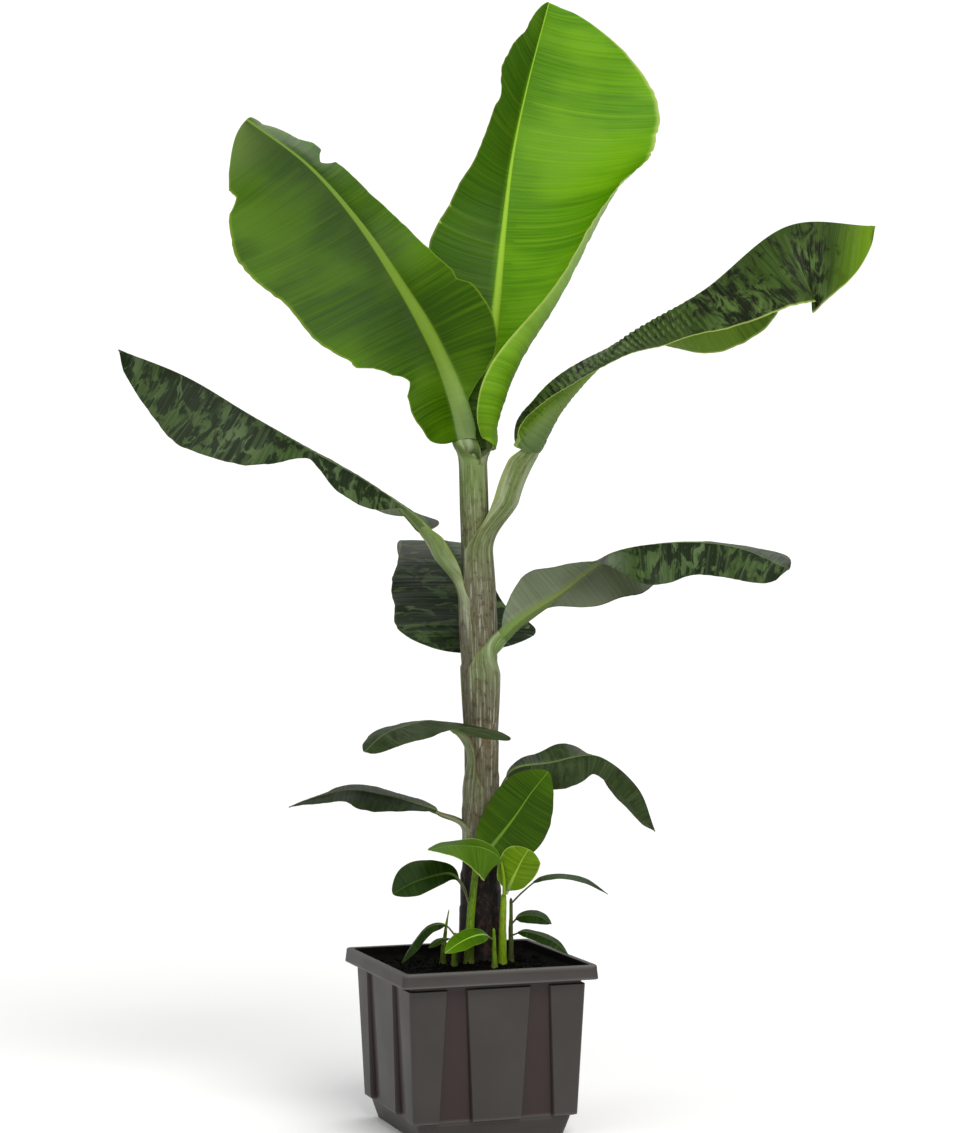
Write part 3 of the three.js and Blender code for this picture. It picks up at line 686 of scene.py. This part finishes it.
STEM_SKIN = skin_material(
    "stem_skin", (11, 6, 5), (90, 88, 68), (92, 98, 58), PETIOLE_GREEN,
    ((168, 168, 152), (40, 34, 20)), (60, 40, 26), 0.6, (0.2, 0.27, 0.7, 0.95))
# Foot, middle, top and green colours, pale and dark streaks, blotches and roughness.
SHOOT_SKINS = {
    "shoot_green": [
        (72, 96, 12), (88, 122, 2), (94, 128, 6), (96, 130, 12), ((134, 162, 50), (54, 82, 0)),
        (52, 66, 10), 0.45,
    ],
    "shoot_bright": [
        (94, 122, 0), (106, 140, 0), (110, 144, 6), (108, 142, 12), ((140, 168, 44), (80, 108, 0)),
        (90, 104, 14), 0.42,
    ],
    "shoot_dark": [
        (50, 54, 22), (54, 78, 20), (60, 90, 26), (60, 84, 28), ((104, 114, 70), (40, 42, 20)),
        (60, 44, 36), 0.5,
    ],
}
SHOOTS = {name: skin_material(name, *skin) for name, skin in SHOOT_SKINS.items()}
POT_PLASTIC = pot_material()
POT_INSIDE_SHADE = painted_shade_inside_material()
POTTING_MIX = soil_material()


# ---------- pot and soil ----------
def wall_half(z):
    """Half width of the pot's plain wall at a height."""
    if z < POT["footHeight"]:
        return lerp(POT["foot"], POT["body"][0], z / POT["footHeight"])
    return lerp(*POT["body"], (z - POT["footHeight"]) / (POT["bodyTop"] - POT["footHeight"]))


def pot_ring(z, half, panels):
    """One ring round the pot. panels: 0 for a plain square, 1 where the panels stand proud."""
    share = (z - POT["panelFrom"]) / (POT["panelTo"] - POT["panelFrom"])
    middle, groove = lerp(*POT["middle"], share), lerp(*POT["groove"], share)
    proud = lerp(half, lerp(*POT["panel"], share), panels)
    corner, bevel, steps = POT["corner"], POT["bevel"], POT["cornerSteps"]
    edge = lerp(proud, half, 0.25)
    # Distance from the side's middle, distance from the pot's middle, and how deep in a recess.
    stops = [
        (0, proud, 0), (middle - 14, proud, 0), (middle - bevel, proud, 0), (middle, edge, 0.3),
        (middle + bevel, half, 1), (lerp(middle, groove, 0.5), half, 1), (groove - bevel, half, 1),
        (groove, edge, 0.3), (groove + bevel, proud, 0), (groove + 14, proud, 0),
    ]
    line = [(x, -y, r * panels) for y, x, r in reversed(stops[1:])]
    line += [(x, y, r * panels) for y, x, r in stops]
    for i in range(steps + 1):
        angle = (i / steps) * math.pi / 2
        centre = proud - corner
        line.append((centre + corner * math.cos(angle), centre + corner * math.sin(angle), 0))
    points, recess = [], []
    for c, s in [(1, 0), (0, 1), (-1, 0), (0, -1)]:
        for x, y, r in line:
            points.append((x * c - y * s, x * s + y * c, z))
            recess.append(r)
    return points, recess


def build_pot():
    top, brim, low, high = POT["height"], POT["bodyTop"], POT["panelFrom"], POT["panelTo"]
    rim, rim_top, thick = POT["rimBottom"], POT["rimTop"], POT["wall"]
    lip = rim_top - POT["lip"]
    # Height, half width, how proud the panels are and how strong the painted highlight on the edge
    # is.
    rows = [
        (0, POT["foot"] - 1, 0, 0), (1.2, POT["foot"] + 0.4, 0, 0.3),
        (15, wall_half(15), 0, 0), (28, wall_half(28), 0, 0),
        (29.6, wall_half(30) - 0.3, 0, 0.4), (30.6, wall_half(31), 0, 0),
        (low + 0.2, wall_half(low), 0, 0), (low + 0.8, wall_half(low), 0.7, 0.3),
        (low + 1.8, wall_half(low), 1, 0.6),
        *[(z, wall_half(z), 1, 0) for z in np.linspace(low + 6, high - 6, POT["panelRows"])],
        (high - 1.8, wall_half(high), 1, 0.2), (high - 0.6, wall_half(high), 0.6, 0.1),
        (high, wall_half(high), 0, 0), (brim - 1.4, wall_half(brim), 0, 0),
        (brim - 1.0, lerp(wall_half(brim), rim, 0.5), 0, 0), (brim - 1.0, rim - 1.0, 0, 0.2),
        (brim - 0.4, rim - 0.2, 0, 0.9), (brim + 0.6, rim, 0, 0.9), (brim + 3, rim - 0.3, 0, 0.1),
        (top - 6, rim_top + 1.1, 0, 0), (top - 2.2, rim_top + 0.9, 0, 0.5),
        (top - 0.7, rim_top + 0.3, 0, 1), (top, rim_top - 0.8, 0, 0.8),
        (top, rim_top - 3, 0, 0.1), (top, lip + 2, 0, 0.1), (top - 0.2, lip + 0.7, 0, 0.7),
        (top - 1, lip, 0, 0.7), (top - 4, lip - 0.4, 0, 0), (top - 12, lip - 1, 0, 0),
        (brim - 2, wall_half(brim) - thick, 0, 0),
        (POT["footHeight"], wall_half(POT["footHeight"]) - thick, 0, 0),
        (POT["floor"], wall_half(POT["floor"]) - thick, 0, 0),
    ]
    points, recess, worn = [], [], []
    for z, half, panels, highlight_share in rows:
        ring, deep = pot_ring(z, half, panels)
        points += ring
        recess += deep
        worn += [highlight_share] * len(ring)
    # The rows of the inner wall take the near-black painted shade.
    count, inner = len(points) // len(rows), POT["innerRows"]
    slots = [0] * (count * (len(rows) - 1 - inner)) + [1] * (count * inner) + [0, 1]
    mesh = Mesh()
    mesh.add(points, closed_tube(len(rows), count), slots, recess=recess, worn=worn)
    materials = [POT_PLASTIC, POT_INSIDE_SHADE]
    mesh.finish("nursery_pot", materials, "pot", turned=False, sharp=35)


def build_soil(steps=150):
    half = wall_half(POT["bodyTop"]) - POT["wall"] - 0.4
    places = np.linspace(-half, half, steps)
    x, y = np.meshgrid(places, places, indexing="ij")
    u, v = SOIL_MOUND["centre"]
    mound = SOIL_MOUND["height"] * np.exp(-(np.hypot(x - u, y - v) / SOIL_MOUND["spread"]) ** 2)
    z = SOIL_TOP - 5 + mound + 3.2 * ripple2(x, y, 24, 1) + 2.2 * ripple2(x, y, 9, 2)
    z += 1.5 * np.abs(ripple2(x, y, 4, 3)) + 0.8 * ripple2(x, y, 2, 4)
    z = np.minimum(z, POT["height"] - 3)
    mesh = Mesh()
    mesh.add(np.stack([x, y, z], -1), sheet_faces(steps, steps))
    rng = np.random.default_rng(11)
    for _ in range(SOIL_CHIPS):
        cx, cy = rng.uniform(-half + 8, half - 8, 2)
        i, j = (int((c + half) / (2 * half) * (steps - 1)) for c in (cx, cy))
        add_chip(mesh, rng, (cx, cy, z[i, j] + 0.5), rng.uniform(2.0, 5.5))
    mesh.finish("soil_surface", [POTTING_MIX], "potting_soil", turned=False,
                sharp=180)


def add_chip(mesh, rng, centre, size, sides=6):
    """A crumb of bark or soil: a squashed, uneven lump."""
    stretch = rng.uniform(0.35, 1.0, 3) * size
    flat = outward(round_angles(sides)[0])[:, :2]
    rings = [np.column_stack([flat * wide, np.full(sides, high)])
             for high, wide in ((-0.8, 0.6), (0, 1), (0.75, 0.55))]
    points = np.concatenate(rings) * rng.uniform(0.8, 1.2, (3 * sides, 1)) * stretch
    tilt, turn = rng.uniform(-0.7, 0.7), rng.uniform(0, 6.3)
    ct, st, cz, sz = math.cos(tilt), math.sin(tilt), math.cos(turn), math.sin(turn)
    points = points @ np.array([[1, 0, 0], [0, ct, -st], [0, st, ct]]).T
    points = points @ np.array([[cz, -sz, 0], [sz, cz, 0], [0, 0, 1]]).T + centre
    mesh.add(points, closed_tube(3, sides))


# ---------- stems ----------
def stem_axis(z):
    z = np.asarray(z, float)
    return np.stack([along(STEM["u"], stem_share(z)), np.full(z.shape, STEM["v"]), z], -1)


def stem_radius(z):
    return along(STEM["radius"], stem_share(np.asarray(z, float)))


def stem_relief(z, phi, sheaths, step):
    """Height of the sheath edges over the stem, nearness of a margin, how dry the sheath is, and
    a number from 0 to 1 of its own for each sheath."""
    relief, margin, papery = np.zeros(z.shape), np.zeros(z.shape), np.zeros(z.shape)
    layer = np.full(z.shape, 0.5)
    for heading, top, drop in sorted(sheaths, key=lambda sheath: -sheath[1]):
        turn = (phi - math.radians(heading) + math.pi) % (2 * math.pi) - math.pi
        edge = top - drop * ((1 - np.cos(turn)) / 2) ** 0.75 + 3 * ripple(phi * 30, 9, int(top))
        below = edge - z
        covered = below > 0
        relief += step * smooth(below / 2.5) * np.exp(-np.maximum(below, 0) / 130)
        near = 0.5 * np.exp(-((below - 1.5) / 2.0) ** 2)
        margin = np.where(covered, near, np.maximum(margin, near))
        brown = np.exp(-np.maximum(below, 0) / 12) * covered
        brown = brown * (0.5 + 0.5 * ripple(z + phi * 40, 14, int(top) + 1))
        papery = np.where(covered, brown, papery)
        layer = np.where(covered, (int(top) % 97) / 97, layer)
    return relief, margin, np.clip(papery, 0, 1), layer


def build_stem(rows=300, columns=96, greens_from=740, thins_from=915):
    foot, top = SOIL_TOP - 6, STEM["top"]
    z, phi = np.broadcast_arrays(np.linspace(foot, top, rows)[:, None], round_angles(columns))
    relief, margin, papery, layer = stem_relief(z, phi, OLD_SHEATHS, 1.5)
    papery = papery * smooth((z - 350) / 60)
    ring = phi * STEM_MEAN_RADIUS
    fibres = 0.35 * ripple2(ring, z * 0.04, 2.2, 21) + 0.5 * ripple2(ring, z * 0.12, 7, 22)
    flare = 5 * np.exp(-(z - SOIL_TOP) / 14) * (1 + 0.4 * ripple(ring, 11, 23))
    radius = stem_radius(z) - 1.4 + relief + fibres + np.minimum(flare, 7)
    radius = radius * (1 + 0.03 * np.cos(2 * (phi - 0.6) + z / 160))
    radius = radius * lerp(1, 0.3, smooth((z - thins_from) / (top - thins_from)))
    axis = stem_axis(z)
    points = axis + radius[..., None] * outward(phi)
    uv = np.stack([ring / 100 + layer * 7, z / 100], -1)
    caps = [(0.82, 3), (0.45, 6), (0.05, 7)]
    domes = [axis[-1:] + (points[-1:] - axis[-1:]) * wide + [0, 0, rise] for wide, rise in caps]
    pad = lambda a: np.concatenate([a] + [a[-1:]] * len(caps))
    mesh = Mesh()
    mesh.add(np.concatenate([points] + domes), closed_tube(rows + len(caps), columns), uv=pad(uv),
             level=pad(stem_share(z)), margin=pad(margin), papery=pad(papery),
             green=pad(smooth((z - greens_from) / 160)))
    mesh.finish("trunk", [STEM_SKIN], "pseudostem")


def build_sucker(name, spec, rows=70, columns=40):
    (u, v), (du, dv) = spec["foot"], spec["lean"]
    r0, r1 = spec["radius"]
    t, phi = np.broadcast_arrays(np.linspace(0, 1, rows)[:, None], round_angles(columns))
    z = lerp(SOIL_TOP - 5, spec["top"], t)
    seed = seed_of(name) % 1000
    height = spec["top"] - SOIL_TOP
    sheaths = [(seed + 137 * k, SOIL_TOP + height * (0.35 + 0.3 * k), height * 0.3)
               for k in range(3)]
    relief, margin, papery, _ = stem_relief(z, phi, sheaths, 0.5)
    ring = phi * r0
    radius = lerp(r0, r1, t) - 0.3 + relief + 0.12 * ripple2(ring, z * 0.1, 1.4, seed)
    radius += 1.6 * np.exp(-(z - SOIL_TOP) / 8)
    radius *= np.sqrt(1 - 0.9 * np.clip((t - 0.94) / 0.06, 0, 1) ** 2)
    centre = np.stack([u + du * t * t, v + dv * t * t, z], -1)
    mesh = Mesh()
    mesh.add(centre + radius[..., None] * outward(phi), closed_tube(rows, columns),
             uv=np.stack([ring / 30, z / 60], -1), level=t, margin=margin * 0.5,
             papery=papery * 0.6)
    skins = [SHOOTS[spec["skin"]]]
    mesh.finish(f"shoot_{name}", skins, f"sucker_stem_{name}")


# ---------- leaves ----------
class Track:
    """The midrib's line of a leaf, with directions forward, left and up at any length."""

    def __init__(self, leaf, steps=300):
        h = math.radians(leaf["heading"])
        ahead = np.array([math.cos(h), math.sin(h), 0])
        self.aside = np.array([-math.sin(h), math.cos(h), 0])
        s = np.linspace(0, 1, steps + 1)
        out, up, drift = (along(leaf[key], s)[:, None] for key in ("out", "up", "drift"))
        root = np.array(leaf["root"], float)
        self.points = root + out * ahead + drift * self.aside + up * np.array([0, 0, 1])
        gaps = np.linalg.norm(np.diff(self.points, axis=0), axis=1)
        self.lengths = np.concatenate([[0], np.cumsum(gaps)])
        self.total = self.lengths[-1]
        self.slopes = unit(np.gradient(self.points, self.lengths, axis=0))

    def read(self, table, length):
        return np.stack([np.interp(length, self.lengths, column) for column in table.T], -1)

    def at(self, length):
        """Place, forward, left and up."""
        forward = unit(self.read(self.slopes, length))
        left = unit(self.aside - (forward @ self.aside)[..., None] * forward)
        return self.read(self.points, length), forward, left, np.cross(forward, left)


def rolled(left, up, angle):
    """The two directions, turned by an angle from left towards up."""
    c, s = np.cos(angle), np.sin(angle)
    return left * c + up * s, up * c - left * s


def end_share(t, ends):
    """Share of its width that a blade has near its base and its tip."""
    a, b = np.clip(1 - t / ends[0], 0, 1), np.clip(1 - (1 - t) / ends[1], 0, 1)
    return np.sqrt(1 - a * a) * (1 - b * b) ** 0.6


RIB_STOPS = np.array([0.3, 0.6, 0.85, 1.1, 1.5])


def half_blade(leaf, frames, t, run, side, rib, outer, flat_width, seed):
    """Points of one half, their distance from the rib, their share of the width, and the width."""
    position, forward, left, up = frames
    sign, turn = (1, "Left") if side == "left" else (-1, "Right")
    fold, curl = along(leaf["fold" + turn], t)[:, None], along(leaf["curl" + turn], t)[:, None]
    width = along(leaf.get(side, leaf["left"]), t) * end_share(t, leaf["ends"])
    big = min(1.0, run[-1] / 400)
    width = width * (1 + 0.018 * ripple(run, 34 * big + 6, seed) + 0.008 * ripple(run, 9, seed + 1))
    for where, centre, depth, reach in leaf["tears"]:
        if where == side:
            width = width - depth * np.clip(1 - np.abs(t - centre) / reach, 0, 1) ** 0.7
    width = np.maximum(width, 1.05 * rib)
    bent = np.clip(width / flat_width, 0, 1)[:, None]
    near = np.minimum(rib, 0.4 * width)[:, None]
    spread = np.linspace(0, 1, outer + 1)[1:] ** 0.92
    start = RIB_STOPS[-1] * near
    x = np.concatenate([0 * near, RIB_STOPS * near, start + (width[:, None] - start) * spread], 1)
    middle = (x[:, 1:] + x[:, :-1]) / 2
    q = middle / width[:, None]
    ease = 1 - np.exp(-(middle / (0.7 * near)) ** 2)
    angle = np.radians(bent * (fold + curl * q ** along(leaf["curlPower"], t)[:, None])) * ease
    across, lift = rolled(left, up, np.radians(along(leaf["roll"], t))[:, None])
    run_on = along(leaf["sweep"], t)[:, None] * 2 * q
    moves = (sign * across[:, None] * np.cos(angle)[..., None]
             + lift[:, None] * np.sin(angle)[..., None]
             + forward[:, None] * run_on[..., None]) * np.diff(x, axis=1)[..., None]
    sums = np.concatenate([np.zeros_like(moves[:, :1]), np.cumsum(moves, 1)], 1)
    return position[:, None] + sums, x, x / width[:, None], width


def blade_grid(leaf, name, pitch, outer):
    """The blade's middle surface and what the folds and the materials need to know about it."""
    track = Track(leaf)
    length = track.total - leaf["stalk"]
    t = np.linspace(0, 1, int(length / pitch) + 2)
    t = lerp(t, (1 - np.cos(math.pi * t)) / 2, 0.25)
    run = t * length
    frames = track.at(leaf["stalk"] + run)
    rib = leaf["rib"][1] * (0.06 + 0.94 * (1 - t) ** 2) * 0.95 + 0.4
    rib = rib * lerp(0.85, 1, smooth(t / 0.03))
    flat_width = 5 * max(1.2, 0.011 * length)
    seed = seed_of(name) % 10000
    right, left = (half_blade(leaf, frames, t, run, side, rib, outer, flat_width, seed + more)
                   for side, more in (("right", 50), ("left", 150)))
    join = lambda k, s=1: np.concatenate([s * right[k][:, ::-1], left[k][:, 1:]], 1)
    points, x, q = join(0), join(1, -1), join(2, -1)
    width = np.where(x < 0, right[3][:, None], left[3][:, None])
    return points, x, q, t[:, None], run[:, None], rib[:, None], width, frames[1], length, seed


def normals_of(points, forward):
    """Directions off a grid's surface, steadied by the midrib's direction forward."""
    lengthwise, crosswise = np.gradient(points, axis=0), np.gradient(points, axis=1)
    return unit(np.cross(unit(lengthwise) + forward[:, None], crosswise))


def add_blade(mesh, leaf, name, pitch, outer, pleat, ruffle, pleat_pitch, thickness=1.1,
              ladder_pitch=9.5):
    """Adds a blade's upper skin (slot 0), under skin (slot 1) and the rib to a mesh."""
    points, x, q, t, run, r, width, forward, length, seed = blade_grid(leaf, name, pitch, outer)
    side, share = np.sign(x), np.abs(q)
    normal = normals_of(points, forward)
    pleats = lambda first: (0.65 * ripple(run, pleat_pitch * 0.5, seed + first)
                            + 0.35 * ripple(run, pleat_pitch * 0.23, seed + first + 1))
    folds = np.where(x < 0, pleats(5), pleats(7))
    height = pleat * folds * smooth(share / 0.12) * (1 - 0.35 * share)
    rungs = np.cos(2 * math.pi * (run - 0.12 * np.abs(x)) / ladder_pitch)
    rungs = rungs * smooth(share / 0.15) * smooth((1 - share) / 0.3)
    height = height + leaf["ladder"] * rungs * smooth((0.75 - t) / 0.3) * smooth(width / 60)
    wave, runs = length / 9 + 12, run + 0 * x
    waves = ripple2(runs, side * 500 + 0.35 * np.abs(x), wave, seed + 9)
    height = height + ruffle * share ** 2 * waves
    height = height + 0.45 * ruffle * share ** 3 * ripple(run + side * 300, wave * 0.42, seed + 10)
    height = height + 0.5 * ruffle * smooth(share / 0.3) * ripple2(runs, x, wave * 0.8, seed + 11)
    middle = points + normal * (height * smooth(width / 25))[..., None]
    normal = normals_of(middle, forward)
    groove = -leaf["hollow"] * r * np.clip(1 - (x / r) ** 2, 0, 1)
    groove = groove + 0.1 * r * np.exp(-((np.abs(x) - 1.2 * r) / (0.3 * r)) ** 2)
    keel = lerp(1.25, 0.85, smooth(t / 0.15)) * r
    keel = keel * np.sqrt(np.clip(1 - (x / (1.15 * r)) ** 2, 0, 1))
    skin = thickness / 2 * lerp(1, 0.45, smooth((share - 0.7) / 0.3))
    upper = middle + normal * (skin + groove)[..., None]
    lower = middle - normal * (skin + keel)[..., None]
    rows, columns = x.shape
    size = rows * columns
    ring = boundary(rows, columns)
    after = np.roll(ring, -1)
    walls = np.stack([ring, after, after + size, ring + size], -1)
    under = sheet_faces(rows, columns, size)[:, ::-1]
    faces = np.concatenate([sheet_faces(rows, columns), under, walls])
    slots = [0] * len(under) + [1] * (len(under) + len(walls))
    uv = np.stack([x / 100, runs / 100 + seed % 50], -1)
    vein = (folds + 1) / 2 * smooth(share / 0.1)
    if leaf["ladder"]:
        vein = np.maximum(vein * 0.8, smooth(rungs * 2 - 1) * smooth((0.8 - t) / 0.4))
    # The last value holds the painted shade of the blade.
    values = dict(rib=np.clip(1 - np.abs(x) / (1.25 * r), 0, 1),
                  edge=smooth(1 - (width * (1 - share)) / 1.6), vein=vein, share=t + 0 * x,
                  tone=painted_shade_of(leaf, q, t))
    mesh.add(np.concatenate([upper.reshape(-1, 3), lower.reshape(-1, 3)]), faces, slots,
             uv=np.concatenate([uv.reshape(-1, 2)] * 2),
             **{key: np.concatenate([value.ravel()] * 2) for key, value in values.items()})


def painted_shade_of(leaf, q, t):
    """Painted shade over the blade: a darker green painted on one half, and along the rib."""
    side, strength, deep = leaf["shade"]
    return strength * smooth(q * side * 8) + deep * (1 - np.abs(q)) ** 1.5 * smooth(t / 0.3) + 0 * q


def boundary(rows, columns):
    """Indices round a grid's edge, in an order that faces out when joined to the lower grid."""
    first = np.arange(columns - 1)
    right = np.arange(rows - 1) * columns + columns - 1
    last = (rows - 1) * columns + np.arange(columns - 1, 0, -1)
    left = np.arange(rows - 1, 0, -1) * columns
    return np.concatenate([first, right, last, left])


CHANNEL_POINTS = 17


def channel_angles():
    """Angles across a channelled stalk: its outer face, and then back along its inner face."""
    outer = np.linspace(0, math.pi, CHANNEL_POINTS)
    return outer, np.linspace(math.pi, 0, CHANNEL_POINTS)[1:-1]


def channel(width, depth, hollow, rise):
    """Across a channelled stalk: leftward and upward places on its outer and then inner face."""
    a, b = channel_angles()
    outer = np.stack([width * np.cos(a), rise - depth * np.sin(a) ** 0.9], -1)
    inner = np.stack([width * 0.96 * np.cos(b), rise - depth * hollow * np.sin(b) ** 1.2], -1)
    return np.concatenate([outer, inner])


SHEATH_SPREAD = 1.25  # degrees that it reaches further round, to each side, for each mm down
SHEATH_REACH = (15, 172)  # the least and most degrees that it reaches round, to each side
SHEATH_SUNK = (-2.2, -2.5)  # its outer face at the foot and its inner face, mm off the stem's skin


def sheath(leaf, s, angles, wrap):
    """Places on the sheath below a stalk, held round the stem. It spreads as it goes down."""
    z = float(leaf["root"][2]) + s
    freed = np.maximum(s - leaf.get("parts", (0,))[0], s * 0.15)
    hold = np.radians(np.clip(leaf["hold"] - SHEATH_SPREAD * freed, *SHEATH_REACH))
    rim = 1 - np.abs(np.cos(angles)) ** 8
    proud = lerp(leaf["lift"], SHEATH_SUNK[0], smooth(-s / wrap))[:, None] * lerp(0.35, 1, rim)
    raised = np.where(np.arange(len(angles)) < CHANNEL_POINTS, proud, SHEATH_SUNK[1])
    radius = stem_radius(np.minimum(z, STEM["top"]))[:, None] + raised
    phi = math.radians(leaf["heading"]) + hold[:, None] * np.cos(angles)
    return stem_axis(z)[:, None] + outward(phi) * radius[..., None], phi * STEM_MEAN_RADIUS


def add_stalk(mesh, leaf, name, slot, wrap=0.0, pitch=3.5):
    """Adds the stalk from the blade down to the root and, by wrap mm, its sheath round the stem."""
    track = Track(leaf)
    stalk, height = leaf["stalk"], leaf["root"][2]
    over = 0.06 * (track.total - stalk)
    s = np.linspace(-wrap, stalk + over, int((wrap + stalk + over) / pitch) + 3)
    position, forward, left, up = track.at(np.maximum(s, 0))
    position = position + forward * np.minimum(s, 0)[:, None]
    share = np.clip(s / stalk, 0, 1)
    left, up = rolled(left, up, np.radians(leaf["roll"][0]) * smooth(share)[:, None])
    r = lerp(*leaf["rib"], share) * lerp(1, 0.5, smooth((s - stalk) / over))
    rise = r * lerp(0.35, -0.1, smooth((s - stalk + 25) / 30))
    deep = 1.15 + rise / r if wrap else 1.2 + 0 * share
    hollow = lerp(0.6, leaf["hollow"], share)
    flat = np.array([channel(*sizes) for sizes in zip(r, deep * r, hollow, rise)])
    points = position[:, None] + flat[..., :1] * left[:, None] + flat[..., 1:] * up[:, None]
    angles = np.concatenate(channel_angles())
    columns = len(angles)
    facing = math.radians(leaf["heading"]) * STEM_MEAN_RADIUS
    across = r[:, None] * 1.6 * (math.pi / 2 - angles) + facing
    green = leaf["green"]
    if wrap:
        start, reach = leaf.get("parts", (-12, min(95, 0.9 * stalk + 12)))
        free = smooth((s - start) / reach)[:, None]
        held, held_across = sheath(leaf, s, angles, wrap)
        points, across = lerp(held, points, free[..., None]), lerp(held_across, across, free)
        green = green * smooth((s + 70) / 150)[:, None]
    grain = 0.2 * ripple2(across, s[:, None] * 0.05 + 0 * across, 2.2, seed_of(name) % 1000)
    points = points + unit(points - points.mean(1, keepdims=True)) * grain[..., None]
    faces = [face[::-1] for face in closed_tube(len(s), columns)]
    level = np.clip(stem_share(points[..., 2]), 0, 1)
    edge = np.abs(np.cos(angles)) ** 30 * np.ones((len(s), 1))
    old = 1 - smooth((height - 400) / 450)
    inner = (np.arange(columns) >= CHANNEL_POINTS) * 0.6
    mesh.add(points, faces, slot,
             uv=np.stack([across / 100, s[:, None] / 100 + height / 100 + 0 * across], -1),
             margin=edge * (1 - 0.6 * old), level=level, papery=edge * old,
             green=np.maximum(green * np.ones_like(level), inner))


def build_main_leaf(name, leaf):
    small = leaf["root"][2] < 600
    skins = [UPPER[leaf["look"]], UNDER[leaf["look"]]]
    pitch, outer, pleat_pitch, wrap = (1.6, 12, 5.0, 90) if small else (2.0, 17, 8.0, 170)
    mesh = Mesh()
    add_blade(mesh, leaf, name, pitch, outer, leaf["pleat"], leaf["ruffle"], pleat_pitch)
    mesh.finish(f"blade_{name}", skins, f"leaf_{name}")
    mesh = Mesh()
    add_stalk(mesh, leaf, name, 0, wrap=wrap)
    mesh.finish(f"stalk_{name}", [STEM_SKIN], f"petiole_{name}", sharp=70)


def build_sucker_leaf(name, leaf):
    look = leaf["look"]
    skins = [UPPER[look], UNDER[look], SHOOTS["shoot_dark" if look == "young" else "shoot_bright"]]
    mesh = Mesh()
    add_blade(mesh, leaf, name, 1.3, 9, 0.22, 1.4, 3.4, thickness=0.8)
    add_stalk(mesh, leaf, name, 2, pitch=2.5)
    mesh.finish(f"blade_{name}", skins, f"leaf_{name}", sharp=70)


# ---------- surroundings ----------
FLOOR_ALBEDO = 0.88
FLOOR_REACH = 40.0  # m
AMBIENT = 0.42
FRAME_HEIGHT, FOCAL_LENGTH = 1133, 2667  # the image's height and the camera's focal length, pixels
SENSOR = 36  # mm
EYE = (24.0, -4000.0, 839.0)  # the camera's place in the plant's frame, mm


def build_floor(reach=FLOOR_REACH):
    corners = [(-reach, -reach, 0), (reach, -reach, 0), (reach, reach, 0), (-reach, reach, 0)]
    mesh = bpy.data.meshes.new("floor")
    mesh.from_pydata(corners, [], [(0, 1, 2, 3)])
    floor = bpy.data.objects.new("floor", mesh)
    bpy.context.scene.collection.objects.link(floor)
    s = Shader("floor_paper", 0.1)
    grain = s.noise(s.place(), 3, 2)
    darker, paler = ((FLOOR_ALBEDO + more,) * 3 + (1,) for more in (-0.01, 0.01))
    mesh.materials.append(s.done(s.mix(grain, darker, paler), 0.9))
    floor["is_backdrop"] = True


def sun(name, bearing, height, strength, spread, colour=(1, 1, 1)):
    """A broad, even light. bearing: degrees from the viewer's right, height: degrees up."""
    light = bpy.data.lights.new(name, "SUN")
    light.energy, light.angle, light.color = strength, math.radians(spread), colour
    lamp = bpy.data.objects.new(name, light)
    lamp.rotation_euler = (math.radians(90 - height), 0, math.radians(bearing + 90) + PLANT_TURN)
    bpy.context.scene.collection.objects.link(lamp)
    return strength * math.sin(math.radians(height)) / math.pi


def build_studio():
    """A soft key light, a weaker fill and back light, and a backdrop that matches the floor."""
    scene = bpy.context.scene
    lit = sun("key", -62, 42, 2.5, 40, (1.0, 0.985, 0.96))
    lit += sun("fill", -140, 30, 0.7, 60, (0.97, 0.99, 1.0))
    lit += sun("back_light", 70, 50, 0.8, 50)
    studio = bpy.data.worlds.new("studio")
    studio.use_nodes = True
    nodes, links = studio.node_tree.nodes, studio.node_tree.links
    seen = nodes.new("ShaderNodeLightPath").outputs["Is Camera Ray"]
    level = nodes.new("ShaderNodeMix")
    links.new(seen, level.inputs[0])
    level.inputs[2].default_value = AMBIENT
    level.inputs[3].default_value = FLOOR_ALBEDO * (AMBIENT + lit)
    links.new(level.outputs[0], nodes["Background"].inputs["Strength"])
    nodes["Background"].inputs["Color"].default_value = (1, 1, 1, 1)
    scene.world = studio
    scene.view_settings.view_transform = "Standard"
    camera = bpy.data.cameras.new("camera")
    camera.sensor_fit, camera.sensor_height = "VERTICAL", SENSOR
    camera.lens = SENSOR * FOCAL_LENGTH / FRAME_HEIGHT
    camera.clip_end = 200
    eye = bpy.data.objects.new("camera", camera)
    eye.location = world(np.array(EYE))
    eye.rotation_euler = (math.pi / 2, 0, PLANT_TURN)
    scene.collection.objects.link(eye)
    scene.camera = eye


build_studio()
build_floor()
build_pot()
build_soil()
build_stem()
for sucker_name, sucker in SUCKERS.items():
    build_sucker(sucker_name, sucker)
for leaf_name, leaf_sizes in MAIN_LEAVES.items():
    build_main_leaf(leaf_name, LEAF | leaf_sizes)
for leaf_name, leaf_sizes in SUCKER_LEAVES.items():
    build_sucker_leaf(leaf_name, LEAF | leaf_sizes)

as_lists = lambda box: [[float(x) for x in corner] for corner in box]
{"cad": as_lists(cad_box), "visual": as_lists(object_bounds())}
